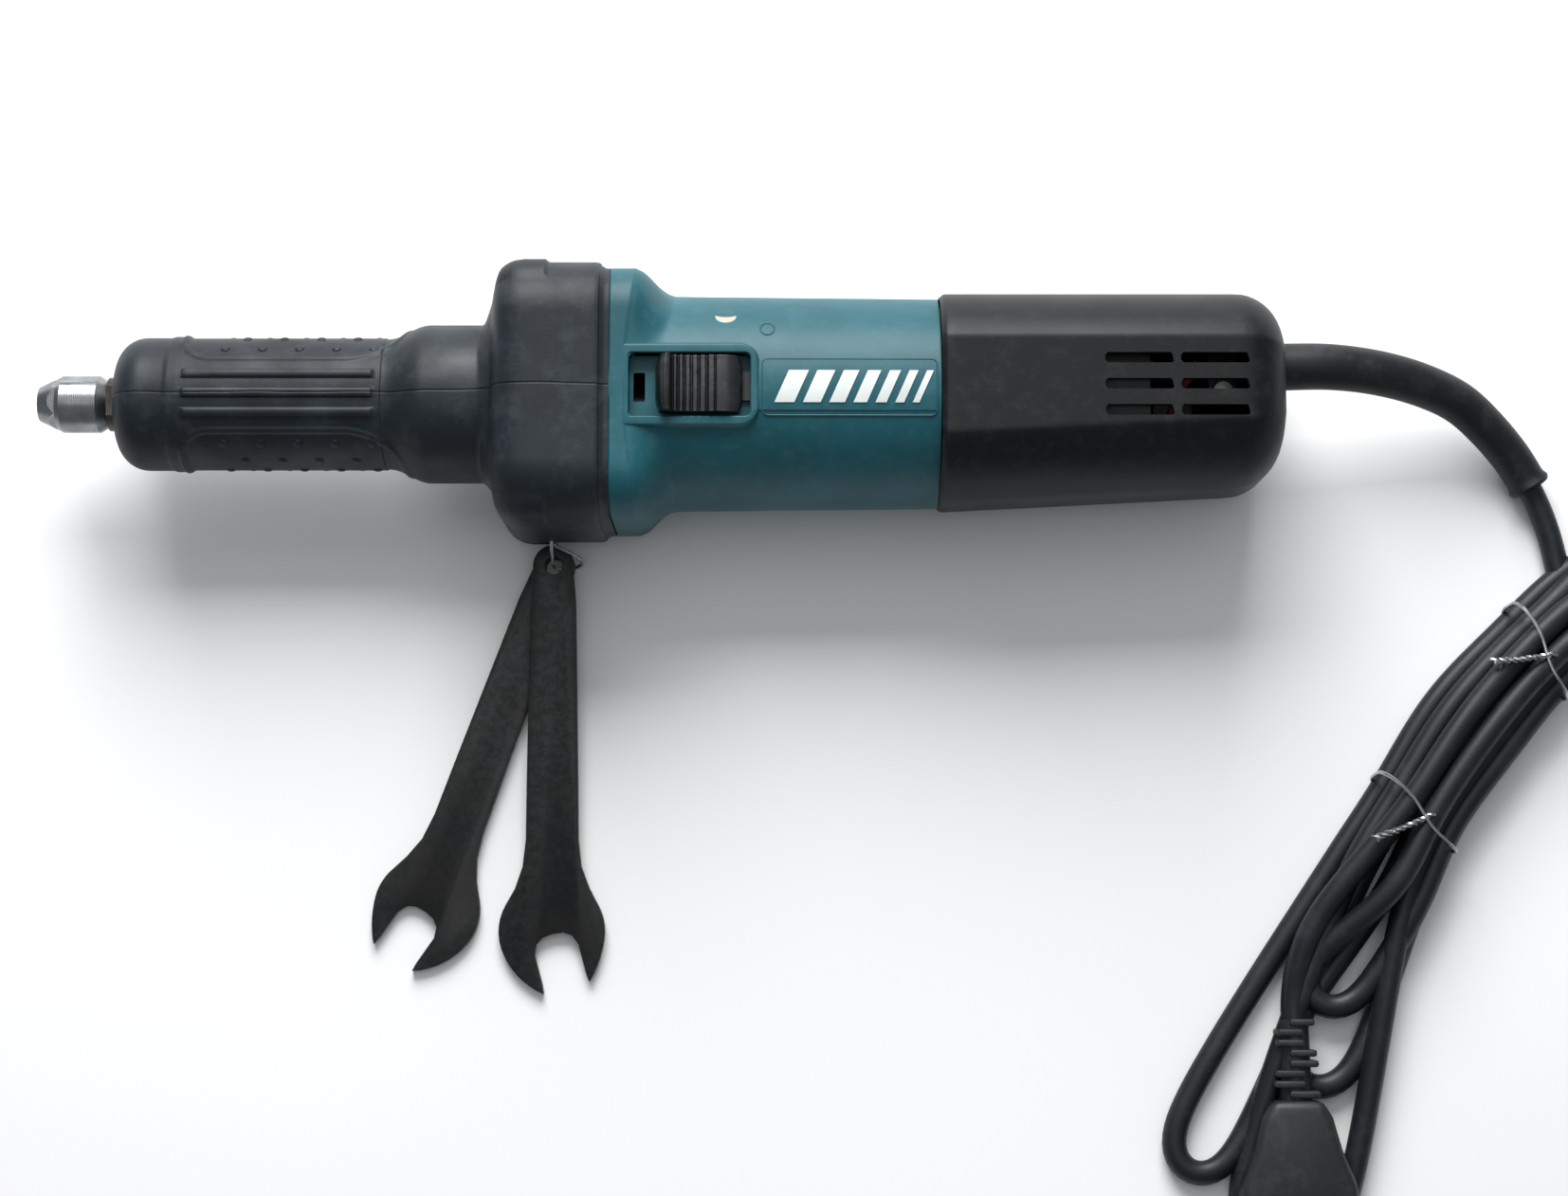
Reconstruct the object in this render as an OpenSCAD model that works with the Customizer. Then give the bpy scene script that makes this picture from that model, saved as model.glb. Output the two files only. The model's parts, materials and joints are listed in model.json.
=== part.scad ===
// Electric die grinder with a long rubber-sleeved nose, slide switch, rear cover,
// supply cord wound in a hank, and two open-end spanners wired to the sleeve.
// The tool's axis is X: the collet mouth is at x = 0 and faces -X, the cord leaves at +X.
// +Z is the side with the switch. The tool lies on the plane z = -floor_drop.

/* [Spindle and collet] */
// Diameter of the shank that the collet grips
shank_d = 6; // [3:0.1:8]
// Outside diameter of the collet nut
nut_d = 16.5; // [16:0.1:20]
// Length of the collet nut
nut_len = 20; // [16:0.5:26]
// Size across flats of the nut and of the spindle
flats_af = 13; // [12:0.5:15]
// Diameter of the spindle
spindle_d = 12; // [10:0.5:14]
// Width of the spindle's spanner flats
flats_w = 3.6; // [3.2:0.1:5]

/* [Nose] */
// Outside diameter of the rubber-covered neck
neck_d = 38.5; // [36:0.5:46]
// Length of the neck
neck_len = 85.4; // [74:0.5:108]
// Thickness of the rubber sleeve
boot_wall = 2.8; // [2:0.1:3.6]
// Diameter of the bulge behind the neck
bulge_d = 46; // [44:0.5:54]
// Width of the sleeve's flange, side to side
flange_w = 75.8; // [74:0.5:92]
// Height of the sleeve's flange
flange_h = 66.4; // [66:0.5:80]
// Length of the sleeve's flange
flange_len = 32.5; // [30:0.5:39]
// Corner radius of the flange
flange_r = 15; // [10:0.5:18]

/* [Motor] */
// Diameter of the motor housing
motor_d = 62; // [60:0.5:70]
// Length of the motor housing that shows
motor_len = 93.5; // [90:0.5:112]
// Wall of the motor housing
motor_wall = 2.7; // [2:0.1:3.2]
// Diameter of the motor shaft
shaft_d = 8; // [7:0.5:9]
// Diameter of the armature
armature_d = 33; // [28:0.5:34]
// Length of the laminated cores
core_len = 44; // [36:0.5:50]
// Diameter of the fan
fan_d = 55; // [46:0.5:57]

/* [Switch] */
// Width of the switch knob
knob_w = 16; // [12:0.5:18]
// Length of the switch knob
knob_len = 24.4; // [20:0.1:26]
// Travel of the switch knob from off to on
switch_travel = 6.5; // [4:0.1:7]

/* [Rear cover] */
// Length of the rear cover
cover_len = 98; // [92:0.5:118]
// Width of the rear cover at its front
cover_w = 60.6; // [60:0.5:73]
// Height of the rear cover
cover_h = 64.8; // [64:0.5:66.4]
// Wall of the rear cover
cover_wall = 2.5; // [2:0.1:3]

/* [Cord] */
// Diameter of the supply cord
cord_d = 7.2; // [6.4:0.1:8]
// Height of the wound hank
hank_h = 21; // [18:0.5:24]

/* [Spanners] */
// Length of a spanner from its eye to its jaw tips
spanner_len = 131; // [120:1:150]
// Thickness of a spanner
spanner_t = 3; // [2.5:0.1:3.2]
// Angle between the two spanners at rest
spanner_splay = 20; // [18:1:30]

/* [Hidden] */
$fn = 64;
fit = 0.1;          // clearance between pieces that are seated in each other
run = 0.3;          // clearance beside a moving piece
press = 0.02;       // clearance where a piece is pressed or glued on
eps = 0.01;

floor_z = -flange_h / 2;

// Stations along the axis
nut_x0 = 0.3;
nut_x1 = nut_x0 + nut_len;
boot_x0 = nut_x1 + 3.1;
neck_x1 = boot_x0 + neck_len;
bulge_x1 = neck_x1 + 17.2;
flange_x0 = neck_x1 + 25.2;
motor_x0 = flange_x0 + flange_len;
motor_x1 = motor_x0 + motor_len;
cover_x1 = motor_x1 + cover_len;

// Nose housing: an aluminium casting inside the sleeve
nose_x0 = boot_x0 + 2.6;
nose_r = neck_d / 2 - boot_wall;
nose_flange_w = flange_w - 2 * boot_wall;
nose_flange_h = flange_h - 2 * boot_wall;
fan_room_x0 = motor_x0 - 16.5;

// Bearings as [bore, outside diameter, width]
front_bearing = [spindle_d, spindle_d + 16, 8];
mid_bearing = [spindle_d - 2, spindle_d + 14, 8];
motor_bearing = [shaft_d, shaft_d + 14, 7];
ring_t = 1.9;
groove = 0.9;       // how deep the balls sit in each ring
front_bearing_x = nose_x0 + 6.4;
mid_bearing_x = neck_x1 - 8;
motor_front_x = flange_x0 + 6.5;
core_x0 = motor_x1 - 68.5;
core_x1 = core_x0 + core_len;
winding_l = 9.5;
commutator_x0 = core_x1 + winding_l + 4;
commutator_l = 16;
commutator_r = armature_d / 2 - 5;
brush_x = commutator_x0 + commutator_l / 2;
motor_rear_x = commutator_x0 + commutator_l + 8;
rear_sleeve_t = 1.5;

// Spindle and coupling
spindle_r = spindle_d / 2;
shaft_r = shaft_d / 2;
collet_wall = 1.2;
collet_r = shank_d / 2 + collet_wall;
collet_len = nut_len - 2;
spigot_x1 = mid_bearing_x + mid_bearing[2] + 10;
coupling_gap = 0.4;
coupling_x0 = mid_bearing_x + mid_bearing[2] + 1.6;
coupling_x1 = motor_front_x - 1.2;
coupling_r = shaft_r + 4;
shaft_x1 = motor_rear_x + motor_bearing[2] + 0.5;

// Fan
fan_x0 = fan_room_x0 + 2;
fan_l = 10.5;
fan_blades = 14;

// Field
bore_r = armature_d / 2 + 0.5;
field_r = motor_d / 2 - motor_wall - 0.2;
window_r0 = bore_r + 0.8;
window_r1 = bore_r + 5.2;
field_flat = 24;    // half height of the field core across its flats
field_screw_y = (window_r1 + field_r) / 2;
field_boss_r = field_screw_y - window_r1 + 0.4; // clears the coils' end turns

// Motor housing
body_r = motor_d / 2 + 0.2;
body_r1 = motor_d / 2 - 0.7;
flange_t = 7.5;
flare_l = 10;
sleeve_r1 = motor_d / 2 - 3.1;
sleeve_x1 = motor_rear_x + motor_bearing[2] + 3;
web_x0 = motor_rear_x - 2;
pocket_r = motor_bearing[1] / 2 + rear_sleeve_t;

// Switch
pad_z = motor_d / 2 + 0.4;
recess_x0 = motor_x0 + 6.1;
recess_w = knob_w + 2;
knob_x0 = recess_x0 + 7.1;
knob_x1 = knob_x0 + knob_len;
recess_x1 = knob_x1 + 2.2;
recess_z = pad_z - 5.4;
knob_z = pad_z + 5.1;
rod_z0 = recess_z + 0.2;
rod_t = 1.4;
rod_w = 8;
switch_x0 = sleeve_x1 + 2;
switch_l = 34;
switch_top = recess_z - 2;
lever_x = switch_x0 + switch_travel + 1;
rod_x1 = lever_x + 3;

// Brushes
brush_t = 6;
brush_w = 8;
brush_l = 10;
brush_r0 = commutator_r + 0.1;
holder_wall = 1.3;
holder_r0 = commutator_r + 1.2;
holder_r1 = sleeve_r1 - 0.6;
roll_r = 1.6;

// Cover
cover_corner = 24;
cord_y = 11;
saddle_x = cover_x1 - 20;
strap_w = 8;
vent_pitch = 7.4;
vent_h = 3;
vent_len = 19;
vent_x = [cover_x1 - 52.5, cover_x1 - 31.3];

// Screws
screw_r = 2;
head_r = 3.8;
flange_screw_y = nose_flange_w / 2 - 7.4;
flange_screw_z = nose_flange_h / 2 - 6.4;
cover_screw_y = 12;
cover_screw_x = (web_x0 + sleeve_x1) / 2;

// Cord guard: its middle line from the cover to where the cord meets the floor
guard_root_r = 7;
guard_tip_r = 5.75;
guard_path = [[0, 11, 0], [16, 11.3, -1], [31, 10.3, -5], [45, 7.6, -10],
              [57, 3.4, -16], [66, -3.1, -21], [74, -11.2, -25], [80, -20, -27]];
// Cord from inside the cover, through the guard and along the floor to the hank
cord_path = [[-22, 11, 0], [-12, 11, 0], [0, 11, 0], [16, 11.3, -1], [31, 10.3, -5],
             [45, 7.6, -10], [57, 3.4, -16], [66, -3.1, -21], [74, -11.2, -25],
             [80, -20, -27], [85, -31, -29], [88, -43, -29.6], [89, -54, -29.6]];

// Hank: middle line as four control points from its outer end to its lower end
hank_ctrl = [[110, -46], [57, -80], [27, -130], [-6, -232]];
hank_half = [19, 15, 15, 17, 17, 15, 17, 20, 23, 25, 21];
tie_at = [0.21, 0.52];
tie_r = 0.5;

// Plug
plug_x = cover_x1 + 6;
plug_y = -200;
plug_w = 34;
plug_t = 16;
plug_l = 36;
pin_r = 2.4;
pin_root_r = pin_r - 0.5;
pin_len = 19;
pin_gap = 19;

// Spanners
eye_x = flange_x0 + 13.5;
eye_y = -flange_w / 2 - 5.9;
eye_r = 6.05;
eye_hole_r = 2.6;
jaw_af = flats_af + 0.2;
jaw_tip = 17.2;      // from the head's centre to the jaw tips
head_r_spanner = 15.65;
head_y = -(spanner_len - eye_r - jaw_tip);
throat_y = -7.4;
handle_w = 15.3;
jaw_turn = 15;
lower_eye_z = floor_z + 1.8;
upper_eye_z = floor_z + 7.4;

// ---- Shapes that repeat -------------------------------------------------------

// Extrudes a shape drawn in the Y-Z plane along +X
module along_x(x0, x1) {
    translate([x0, 0, 0]) rotate([90, 0, 90]) linear_extrude(x1 - x0) children();
}

module rod_x(x0, x1, r, r1 = -1) {
    translate([x0, 0, 0]) rotate([0, 90, 0]) cylinder(h = x1 - x0, r1 = r, r2 = r1 < 0 ? r : r1);
}

module ring_x(x0, x1, r, hole) {
    difference() {
        rod_x(x0, x1, r);
        rod_x(x0 - 1, x1 + 1, hole);
    }
}

// Revolves an outline of [distance along X, radius] about the axis
module turned(outline) {
    rotate([0, 90, 0]) rotate_extrude() polygon([for (p = outline) [p[1], p[0]]]);
}

// Sector of a ring, from angle a0 over sweep degrees, 0 being +Y and 90 being +Z
module sector_x(x0, x1, r0, r1, a0, sweep) {
    translate([x0, 0, 0]) rotate([90, 0, 90]) rotate([0, 0, a0])
        rotate_extrude(angle = sweep) translate([r0, 0]) square([r1 - r0, x1 - x0]);
}

module rounded_square(w, h, r) {
    square([w - 2 * r, h], center = true);
    square([w, h - 2 * r], center = true);
    for (sx = [-1, 1], sy = [-1, 1]) translate([sx * (w / 2 - r), sy * (h / 2 - r)]) circle(r);
}

// Round bar from point a to point b
module bar(a, b, r) {
    d = b - a;
    l = norm(d);
    translate(a) rotate([0, acos(d[2] / l), atan2(d[1], d[0])]) cylinder(h = l, r = r);
}

// Points on an arc about [cx, cy]
function arc(cx, cy, r, a0, a1, n) =
    [for (i = [0:n]) let (a = a0 + (a1 - a0) * i / n) [cx + r * cos(a), cy + r * sin(a)]];

// Tube swept along points, with one radius for each point. ref is a direction that the path never takes
module swept(points, radii, sides, ref = [0, 0, 1], closed = false) {
    n = len(points);
    dirs = [for (i = [0:n - 1]) let (
            after = closed ? points[(i + 1) % n] : points[min(i + 1, n - 1)],
            before = closed ? points[(i + n - 1) % n] : points[max(i - 1, 0)],
            d = after - before)
        d / norm(d)];
    rings = [for (i = [0:n - 1]) let (
            t = dirs[i],
            side = cross(t, ref) / norm(cross(t, ref)),
            up = cross(side, t))
        for (k = [0:sides - 1]) let (a = 360 * k / sides)
            points[i] + radii[i] * (cos(a) * side + sin(a) * up)];
    walls = [for (i = [0:closed ? n - 1 : n - 2], k = [0:sides - 1]) let (m = (k + 1) % sides, j = (i + 1) % n)
        [i * sides + k, i * sides + m, j * sides + m, j * sides + k]];
    caps = closed ? [] : [[for (k = [sides - 1:-1:0]) k], [for (k = [0:sides - 1]) (n - 1) * sides + k]];
    polyhedron(rings, concat(walls, caps), 4);
}

module wire(points, r, ref, closed = false) swept(points, [for (p = points) r], 8, ref, closed);

// Smooth curve through points, with steps pieces for each span
function curve_at(p, i, t) = let (
        n = len(p) - 1,
        a = p[max(i - 1, 0)], b = p[i], c = p[min(i + 1, n)], d = p[min(i + 2, n)])
    0.5 * (2 * b + (c - a) * t + (2 * a - 5 * b + 4 * c - d) * t * t + (3 * b - a - 3 * c + d) * t * t * t);
function smooth_path(p, steps) = concat(
    [for (i = [0:len(p) - 2], s = [0:steps - 1]) curve_at(p, i, s / steps)], [p[len(p) - 1]]);

function from_cover(points) = [for (p = points) p + [cover_x1, 0, 0]];

// ---- Bearings -----------------------------------------------------------------

function pitch_r(b) = (b[0] + b[1]) / 4;
function ball_r(b) = (b[1] - b[0]) / 4 - ring_t + groove;

module bearing_groove(x, b) {
    translate([x + b[2] / 2, 0, 0]) rotate([0, 90, 0])
        rotate_extrude() translate([pitch_r(b), 0]) circle(ball_r(b) + fit);
}

module bearing_outer(x, b) color("lightsteelblue") difference() {
    ring_x(x, x + b[2], b[1] / 2, b[1] / 2 - ring_t);
    bearing_groove(x, b);
}

module bearing_inner(x, b) color("lightsteelblue") difference() {
    ring_x(x, x + b[2], b[0] / 2 + ring_t, b[0] / 2 + press);
    bearing_groove(x, b);
}

// Balls joined by their cage, which turns at about 0.37 of the shaft's speed
module bearing_balls(x, b) color("silver") {
    count = floor(PI * pitch_r(b) / ball_r(b) * 0.72);
    cage_t = 0.7;
    for (i = [0:count - 1]) translate([x + b[2] / 2, 0, 0]) rotate([i * 360 / count, 0, 0])
        translate([0, pitch_r(b), 0]) sphere(ball_r(b));
    ring_x(x + b[2] / 2 - 1, x + b[2] / 2 + 1, pitch_r(b) + cage_t, pitch_r(b) - cage_t);
}

module front_bearing_outer() bearing_outer(front_bearing_x, front_bearing);
module front_bearing_inner() bearing_inner(front_bearing_x, front_bearing);
module front_bearing_balls() bearing_balls(front_bearing_x, front_bearing);
module mid_bearing_outer() bearing_outer(mid_bearing_x, mid_bearing);
module mid_bearing_inner() bearing_inner(mid_bearing_x, mid_bearing);
module mid_bearing_balls() bearing_balls(mid_bearing_x, mid_bearing);
module motor_front_bearing_outer() bearing_outer(motor_front_x, motor_bearing);
module motor_front_bearing_inner() bearing_inner(motor_front_x, motor_bearing);
module motor_front_bearing_balls() bearing_balls(motor_front_x, motor_bearing);
module motor_rear_bearing_outer() bearing_outer(motor_rear_x, motor_bearing);
module motor_rear_bearing_inner() bearing_inner(motor_rear_x, motor_bearing);
module motor_rear_bearing_balls() bearing_balls(motor_rear_x, motor_bearing);

// ---- Collet and spindle ---------------------------------------------------------

thread_r = spindle_r + 0.08;
cone_x1 = nut_x0 + 7.4;
mouth_r = collet_r - 0.1;

module collet_nut() color("gainsboro") difference() {
    intersection() {
        union() {
            rod_x(nut_x0, nut_x0 + 6.8, 5, nut_d / 2);
            rod_x(nut_x0 + 6.8, nut_x1 - 2.6, nut_d / 2);
            rod_x(nut_x1 - 2.6, nut_x1, nut_d / 2, nut_d / 2 - 1.6);
        }
        // Six flats on the front, which end where they run out into the round body
        union() {
            along_x(nut_x0, nut_x0 + 5.4) circle(r = flats_af / 2 / cos(30), $fn = 6);
            rod_x(nut_x0 + 5.4, nut_x1, nut_d / 2);
        }
    }
    rod_x(nut_x0 - 1, nut_x0 + 2, mouth_r + run);
    rod_x(nut_x0 + 2 - eps, cone_x1, mouth_r + run, thread_r);
    rod_x(cone_x1 - eps, nut_x1 + 1, thread_r);
}

module collet() color("silver") difference() {
    union() {
        rod_x(0, 1, mouth_r - 0.4, mouth_r);
        rod_x(1, nut_x0 + 2, mouth_r);
        rod_x(nut_x0 + 2, cone_x1 - 0.4, mouth_r, thread_r - 0.35);
        rod_x(cone_x1 - 0.4, collet_len, collet_r);
    }
    rod_x(-1, collet_len + 1, shank_d / 2);
    for (a = [0, 90]) rotate([a, 0, 0])
        translate([-1, -0.3, -nut_d / 2]) cube([collet_len * 0.7 + 1, 0.6, nut_d]);
}

module spindle() color("silver") difference() {
    union() {
        rod_x(cone_x1 + 0.3, mid_bearing_x - 0.5, spindle_r);
        intersection() {
            rod_x(nut_x1 + 0.3, nut_x1 + 0.3 + flats_w, flats_af / 2 + 1.3);
            translate([0, -nut_d, -flats_af / 2]) cube([boot_x0 + 5, 2 * nut_d, flats_af]);
        }
        rod_x(nut_x1 + 0.3 + flats_w, front_bearing_x - 0.2, spindle_r + 1.3);
        rod_x(mid_bearing_x - 0.5 - eps, coupling_x0, mid_bearing[0] / 2);
        rod_x(coupling_x0 - eps, spigot_x1, shaft_r);
    }
    rod_x(0, collet_len + 3, collet_r + 0.08);
    // Flat on the coupling spigot
    translate([coupling_x0, -spindle_r, shaft_r - 1]) cube([30, spindle_d, 5]);
}

module bearing_retainer() color("dimgray") difference() {
    ring_x(nose_x0 + 0.4, front_bearing_x - 0.1, front_bearing[1] / 2, spindle_r + 2);
    for (s = [-1, 1]) translate([0, s * (front_bearing[1] / 2 - 3), 0]) rod_x(0, nose_x0 + 2.4, 1.2);
}

module wave_washer() color("silver")
    ring_x(front_bearing_x + front_bearing[2] + 0.1, front_bearing_x + front_bearing[2] + 1.1,
        front_bearing[1] / 2 - 0.3, spindle_r + 4);

module mid_bearing_circlip() color("dimgray") difference() {
    ring_x(mid_bearing_x + mid_bearing[2] + 0.1, mid_bearing_x + mid_bearing[2] + 1.3,
        mid_bearing[1] / 2 + 0.8, mid_bearing[1] / 2 - 2);
    translate([0, -2, -mid_bearing[1]]) cube([2 * neck_len, 4, mid_bearing[1]]);
}

// Rubber sleeve that joins the spindle's spigot to the motor shaft
module coupling_sleeve() color("black") difference() {
    rod_x(coupling_x0 + 0.3, coupling_x1, coupling_r);
    difference() {
        rod_x(coupling_x0 - 1, coupling_x1 + 1, shaft_r + press);
        translate([coupling_x0, -spindle_r, shaft_r - 1 + press]) cube([30, spindle_d, 5]);
    }
}

// ---- Nose housing and sleeve ------------------------------------------------------

module flange_screw_places() {
    for (sy = [-1, 1], sz = [-1, 1]) translate([0, sy * flange_screw_y, sz * flange_screw_z]) children();
}

vent_arc_r = nose_flange_h / 2 - 4.6;

// Slots in the front face that let the cooling air out
module exhaust_slots(x0, x1) {
    for (a = [60, 90, 120, 240, 270, 300]) sector_x(x0, x1, vent_arc_r - 3, vent_arc_r, a - 9, 18);
}

module nose_housing() color("silver") difference() {
    union() {
        rod_x(nose_x0, neck_x1 - 4, nose_r);
        rod_x(neck_x1 - 4 - eps, neck_x1 + 4, nose_r, bulge_d / 2 - boot_wall);
        rod_x(neck_x1 + 4 - eps, flange_x0 + 3, bulge_d / 2 - boot_wall);
        along_x(flange_x0 + boot_wall, motor_x0) rounded_square(nose_flange_w, nose_flange_h, flange_r - boot_wall);
    }
    rod_x(nose_x0 - 1, front_bearing_x + front_bearing[2] + 1.3, front_bearing[1] / 2 + press);
    rod_x(nose_x0, mid_bearing_x + 1, mid_bearing[1] / 2 - 1.5);
    rod_x(mid_bearing_x, motor_front_x - 1, mid_bearing[1] / 2 + press);
    ring_x(mid_bearing_x + mid_bearing[2], mid_bearing_x + mid_bearing[2] + 1.5, mid_bearing[1] / 2 + 1, 1);
    rod_x(motor_front_x - 2, fan_room_x0 + 1, motor_bearing[1] / 2 - 1.5);
    rod_x(motor_front_x, fan_room_x0 + 1, motor_bearing[1] / 2 + press);
    rod_x(fan_room_x0, motor_x0 + 1, nose_flange_h / 2 - 1.5);
    exhaust_slots(flange_x0, fan_room_x0 + 1);
    flange_screw_places() rod_x(0, motor_x0 + 1, screw_r + 0.2);
    flange_screw_places() rod_x(0, flange_x0 + 6.65, head_r + 0.3);
    tether_channel(1.25);
}

module flange_screws() color("dimgray") flange_screw_places() difference() {
    union() {
        rod_x(flange_x0 + 6.6, motor_x0 + 6, screw_r);
        rod_x(flange_x0 + 3.6, flange_x0 + 6.6 + eps, head_r);
    }
    for (a = [0, 90]) rotate([a, 0, 0]) translate([flange_x0 + 2, -0.5, -2.2]) cube([3.2, 1, 4.4]);
}

boot_front_r = 8.6;
boot_outline = concat(
    [[boot_x0, spindle_r + 3.4], [boot_x0, neck_d / 2 - boot_front_r]],
    [for (p = arc(boot_x0 + boot_front_r, neck_d / 2 - boot_front_r, boot_front_r, 180, 90, 8)) p],
    [[neck_x1 - 9, neck_d / 2], [neck_x1 - 3, neck_d / 2 + 0.9], [neck_x1 + 2, bulge_d / 2 - 0.4],
     [neck_x1 + 5, bulge_d / 2], [bulge_x1, bulge_d / 2 + 0.6], [bulge_x1 + 3, bulge_d / 2 + 2],
     [flange_x0 - 2, bulge_d / 2 + 5], [flange_x0 + 3, bulge_d / 2 + 6], [flange_x0 + 3, spindle_r + 3.4]]);

// Channel through the sleeve's corner that the tether wire is threaded through
tether_y = -flange_w / 2 + 3.4;
tether_z = [floor_z + 12, floor_z + 18.5];

module tether_channel(r) {
    for (z = tether_z) bar([eye_x, tether_y, z], [eye_x, eye_y, z], r);
    bar([eye_x, tether_y, tether_z[0] - r], [eye_x, tether_y, tether_z[1] + r], r);
}

module grip_rib(a) rotate([a, 0, 0])
    translate([boot_x0 + 20.5, -1.1, neck_d / 2 - 1]) cube([neck_len - 30.3, 2.2, 1.6]);

module nose_boot() color("darkslategray") difference() {
    union() {
        turned(boot_outline);
        along_x(flange_x0, motor_x0) rounded_square(flange_w, flange_h, flange_r);
        flange_screw_places() rod_x(flange_x0 + 1, flange_x0 + 14.6, head_r + 3.4);
        for (a = [-17, 0, 17, 163, 180, 197]) grip_rib(a);
    }
    rod_x(nose_x0 - eps, neck_x1 - 4, nose_r + press);
    rod_x(0, nose_x0, spindle_r + 3.6);
    rod_x(neck_x1 - 4 - eps, neck_x1 + 4, nose_r + press, bulge_d / 2 - boot_wall + press);
    rod_x(neck_x1 + 4 - eps, flange_x0 + boot_wall, bulge_d / 2 - boot_wall + press);
    along_x(flange_x0 + boot_wall - press, motor_x0 + 1)
        rounded_square(nose_flange_w + 2 * press, nose_flange_h + 2 * press, flange_r - boot_wall);
    flange_screw_places() rod_x(0, flange_x0 + 6, head_r - 0.6);
    exhaust_slots(flange_x0 - 1, flange_x0 + 6);
    tether_channel(1.25);
}

// ---- Motor --------------------------------------------------------------------------

module motor_shaft() color("silver") difference() {
    union() {
        rod_x(spigot_x1 + coupling_gap, shaft_x1, shaft_r);
        rod_x(motor_front_x + motor_bearing[2] + 0.1, fan_x0 - 0.1, shaft_r + 1.5);
    }
    translate([0, -spindle_r, shaft_r - 1]) cube([coupling_x1, spindle_d, 5]);
}

module armature_core() color("slategray") difference() {
    rod_x(core_x0, core_x1, armature_d / 2);
    rod_x(core_x0 - 1, core_x1 + 1, shaft_r + press);
    for (i = [0:11]) rotate([i * 30, 0, 0])
        translate([core_x0 - 1, -1.1, armature_d / 2 - 6]) cube([core_len + 2, 2.2, 8]);
}

// Copper coils: end turns at both ends of the core and a bar in each slot
module armature_windings() color("chocolate") {
    for (x = [core_x0 - winding_l, core_x1 + 0.05])
        ring_x(x, x + winding_l - 0.05, armature_d / 2 - 0.8, shaft_r + 2);
    for (i = [0:11]) rotate([i * 30, 0, 0])
        translate([core_x0 - 1, -1.05, armature_d / 2 - 5.9]) cube([core_len + 2, 2.1, 4.4]);
}

module commutator() color("peru") difference() {
    union() {
        ring_x(commutator_x0, commutator_x0 + commutator_l, commutator_r, shaft_r + press);
        ring_x(commutator_x0, commutator_x0 + 2.4, commutator_r + 1.2, shaft_r + press);
    }
    for (i = [0:23]) rotate([i * 15, 0, 0])
        translate([commutator_x0 + 2.4, -0.25, commutator_r - 1]) cube([commutator_l, 0.5, 2]);
}

module cooling_fan() color("dimgray") difference() {
    union() {
        rod_x(fan_x0, fan_x0 + 1.8, fan_d / 2);
        rod_x(fan_x0, fan_x0 + fan_l, shaft_r + 3);
        for (i = [0:fan_blades - 1]) rotate([i * 360 / fan_blades, 0, 0])
            translate([fan_x0 + 1, -0.8, shaft_r + 7]) rotate([14, 0, 0])
                cube([fan_l - 2.4, 1.6, fan_d / 2 - shaft_r - 9]);
    }
    rod_x(fan_x0 - 1, fan_x0 + fan_l + 1, shaft_r + press);
}

module rear_bearing_sleeve() color("black") difference() {
    rod_x(motor_rear_x, motor_rear_x + motor_bearing[2] + 1.4, pocket_r - press);
    rod_x(motor_rear_x - 1, motor_rear_x + motor_bearing[2], motor_bearing[1] / 2 + press);
    rod_x(motor_rear_x - 1, motor_rear_x + motor_bearing[2] + 3, shaft_r + 2);
}

module baffle_plate() color("black") ring_x(motor_x0 - 2.2, motor_x0 - 0.1,
    nose_flange_h / 2 - 1.6, armature_d / 2 + 3);

module field_core() color("slategray") difference() {
    intersection() {
        rod_x(core_x0, core_x1, field_r);
        translate([core_x0 - 1, -field_r - 1, -field_flat]) cube([core_len + 2, 2 * field_r + 2, 2 * field_flat]);
    }
    rod_x(core_x0 - 1, core_x1 + 1, bore_r);
    for (a = [42, 108, 222, 288]) sector_x(core_x0 - 1, core_x1 + 1, window_r0, window_r1, a, 30);
    for (s = [-1, 1]) translate([0, s * field_screw_y, 0]) rod_x(core_x0 - 1, core_x1 + 1, screw_r + 0.1);
}

// Two saddle coils, one round each pole
module field_coils() color("chocolate") for (side = [0, 180]) rotate([side, 0, 0]) {
    r0 = window_r0 + 0.2;
    r1 = window_r1 - 0.2;
    for (a = [-71, 43]) sector_x(core_x0 - winding_l, core_x1 + winding_l, r0, r1, a, 28);
    for (x = [core_x0 - winding_l, core_x1 + 1.5])
        sector_x(x + 0.2, x + winding_l - 1.7, r0 + 0.3, r1 - 0.3, -50, 100);
}

module field_screws() color("dimgray") for (s = [-1, 1]) translate([0, s * field_screw_y, 0]) {
    rod_x(core_x0 - 0.1, core_x1 + 8, screw_r);
    rod_x(core_x0 - 2.6, core_x0 - 0.1 + eps, head_r - 1);
}

// ---- Motor housing ----------------------------------------------------------------------

flare_outline = concat(
    [[motor_x0, 0], [motor_x0, flange_w / 2 + 6], [motor_x0 + flange_t, flange_w / 2 + 6]],
    arc(motor_x0 + flange_t + flare_l, body_r + flare_l, flare_l, 212, 270, 8),
    [[motor_x1, body_r1], [motor_x1, 0]]);

module label_band(x0, x1, w, t, lift) intersection() {
    difference() {
        rod_x(motor_x0 + flange_t + flare_l, motor_x1, body_r + lift + t, body_r1 + lift + t);
        rod_x(motor_x0 + flange_t + flare_l, motor_x1, body_r + lift, body_r1 + lift);
    }
    translate([x0, -w / 2, 0]) cube([x1 - x0, w, motor_d]);
}

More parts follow.
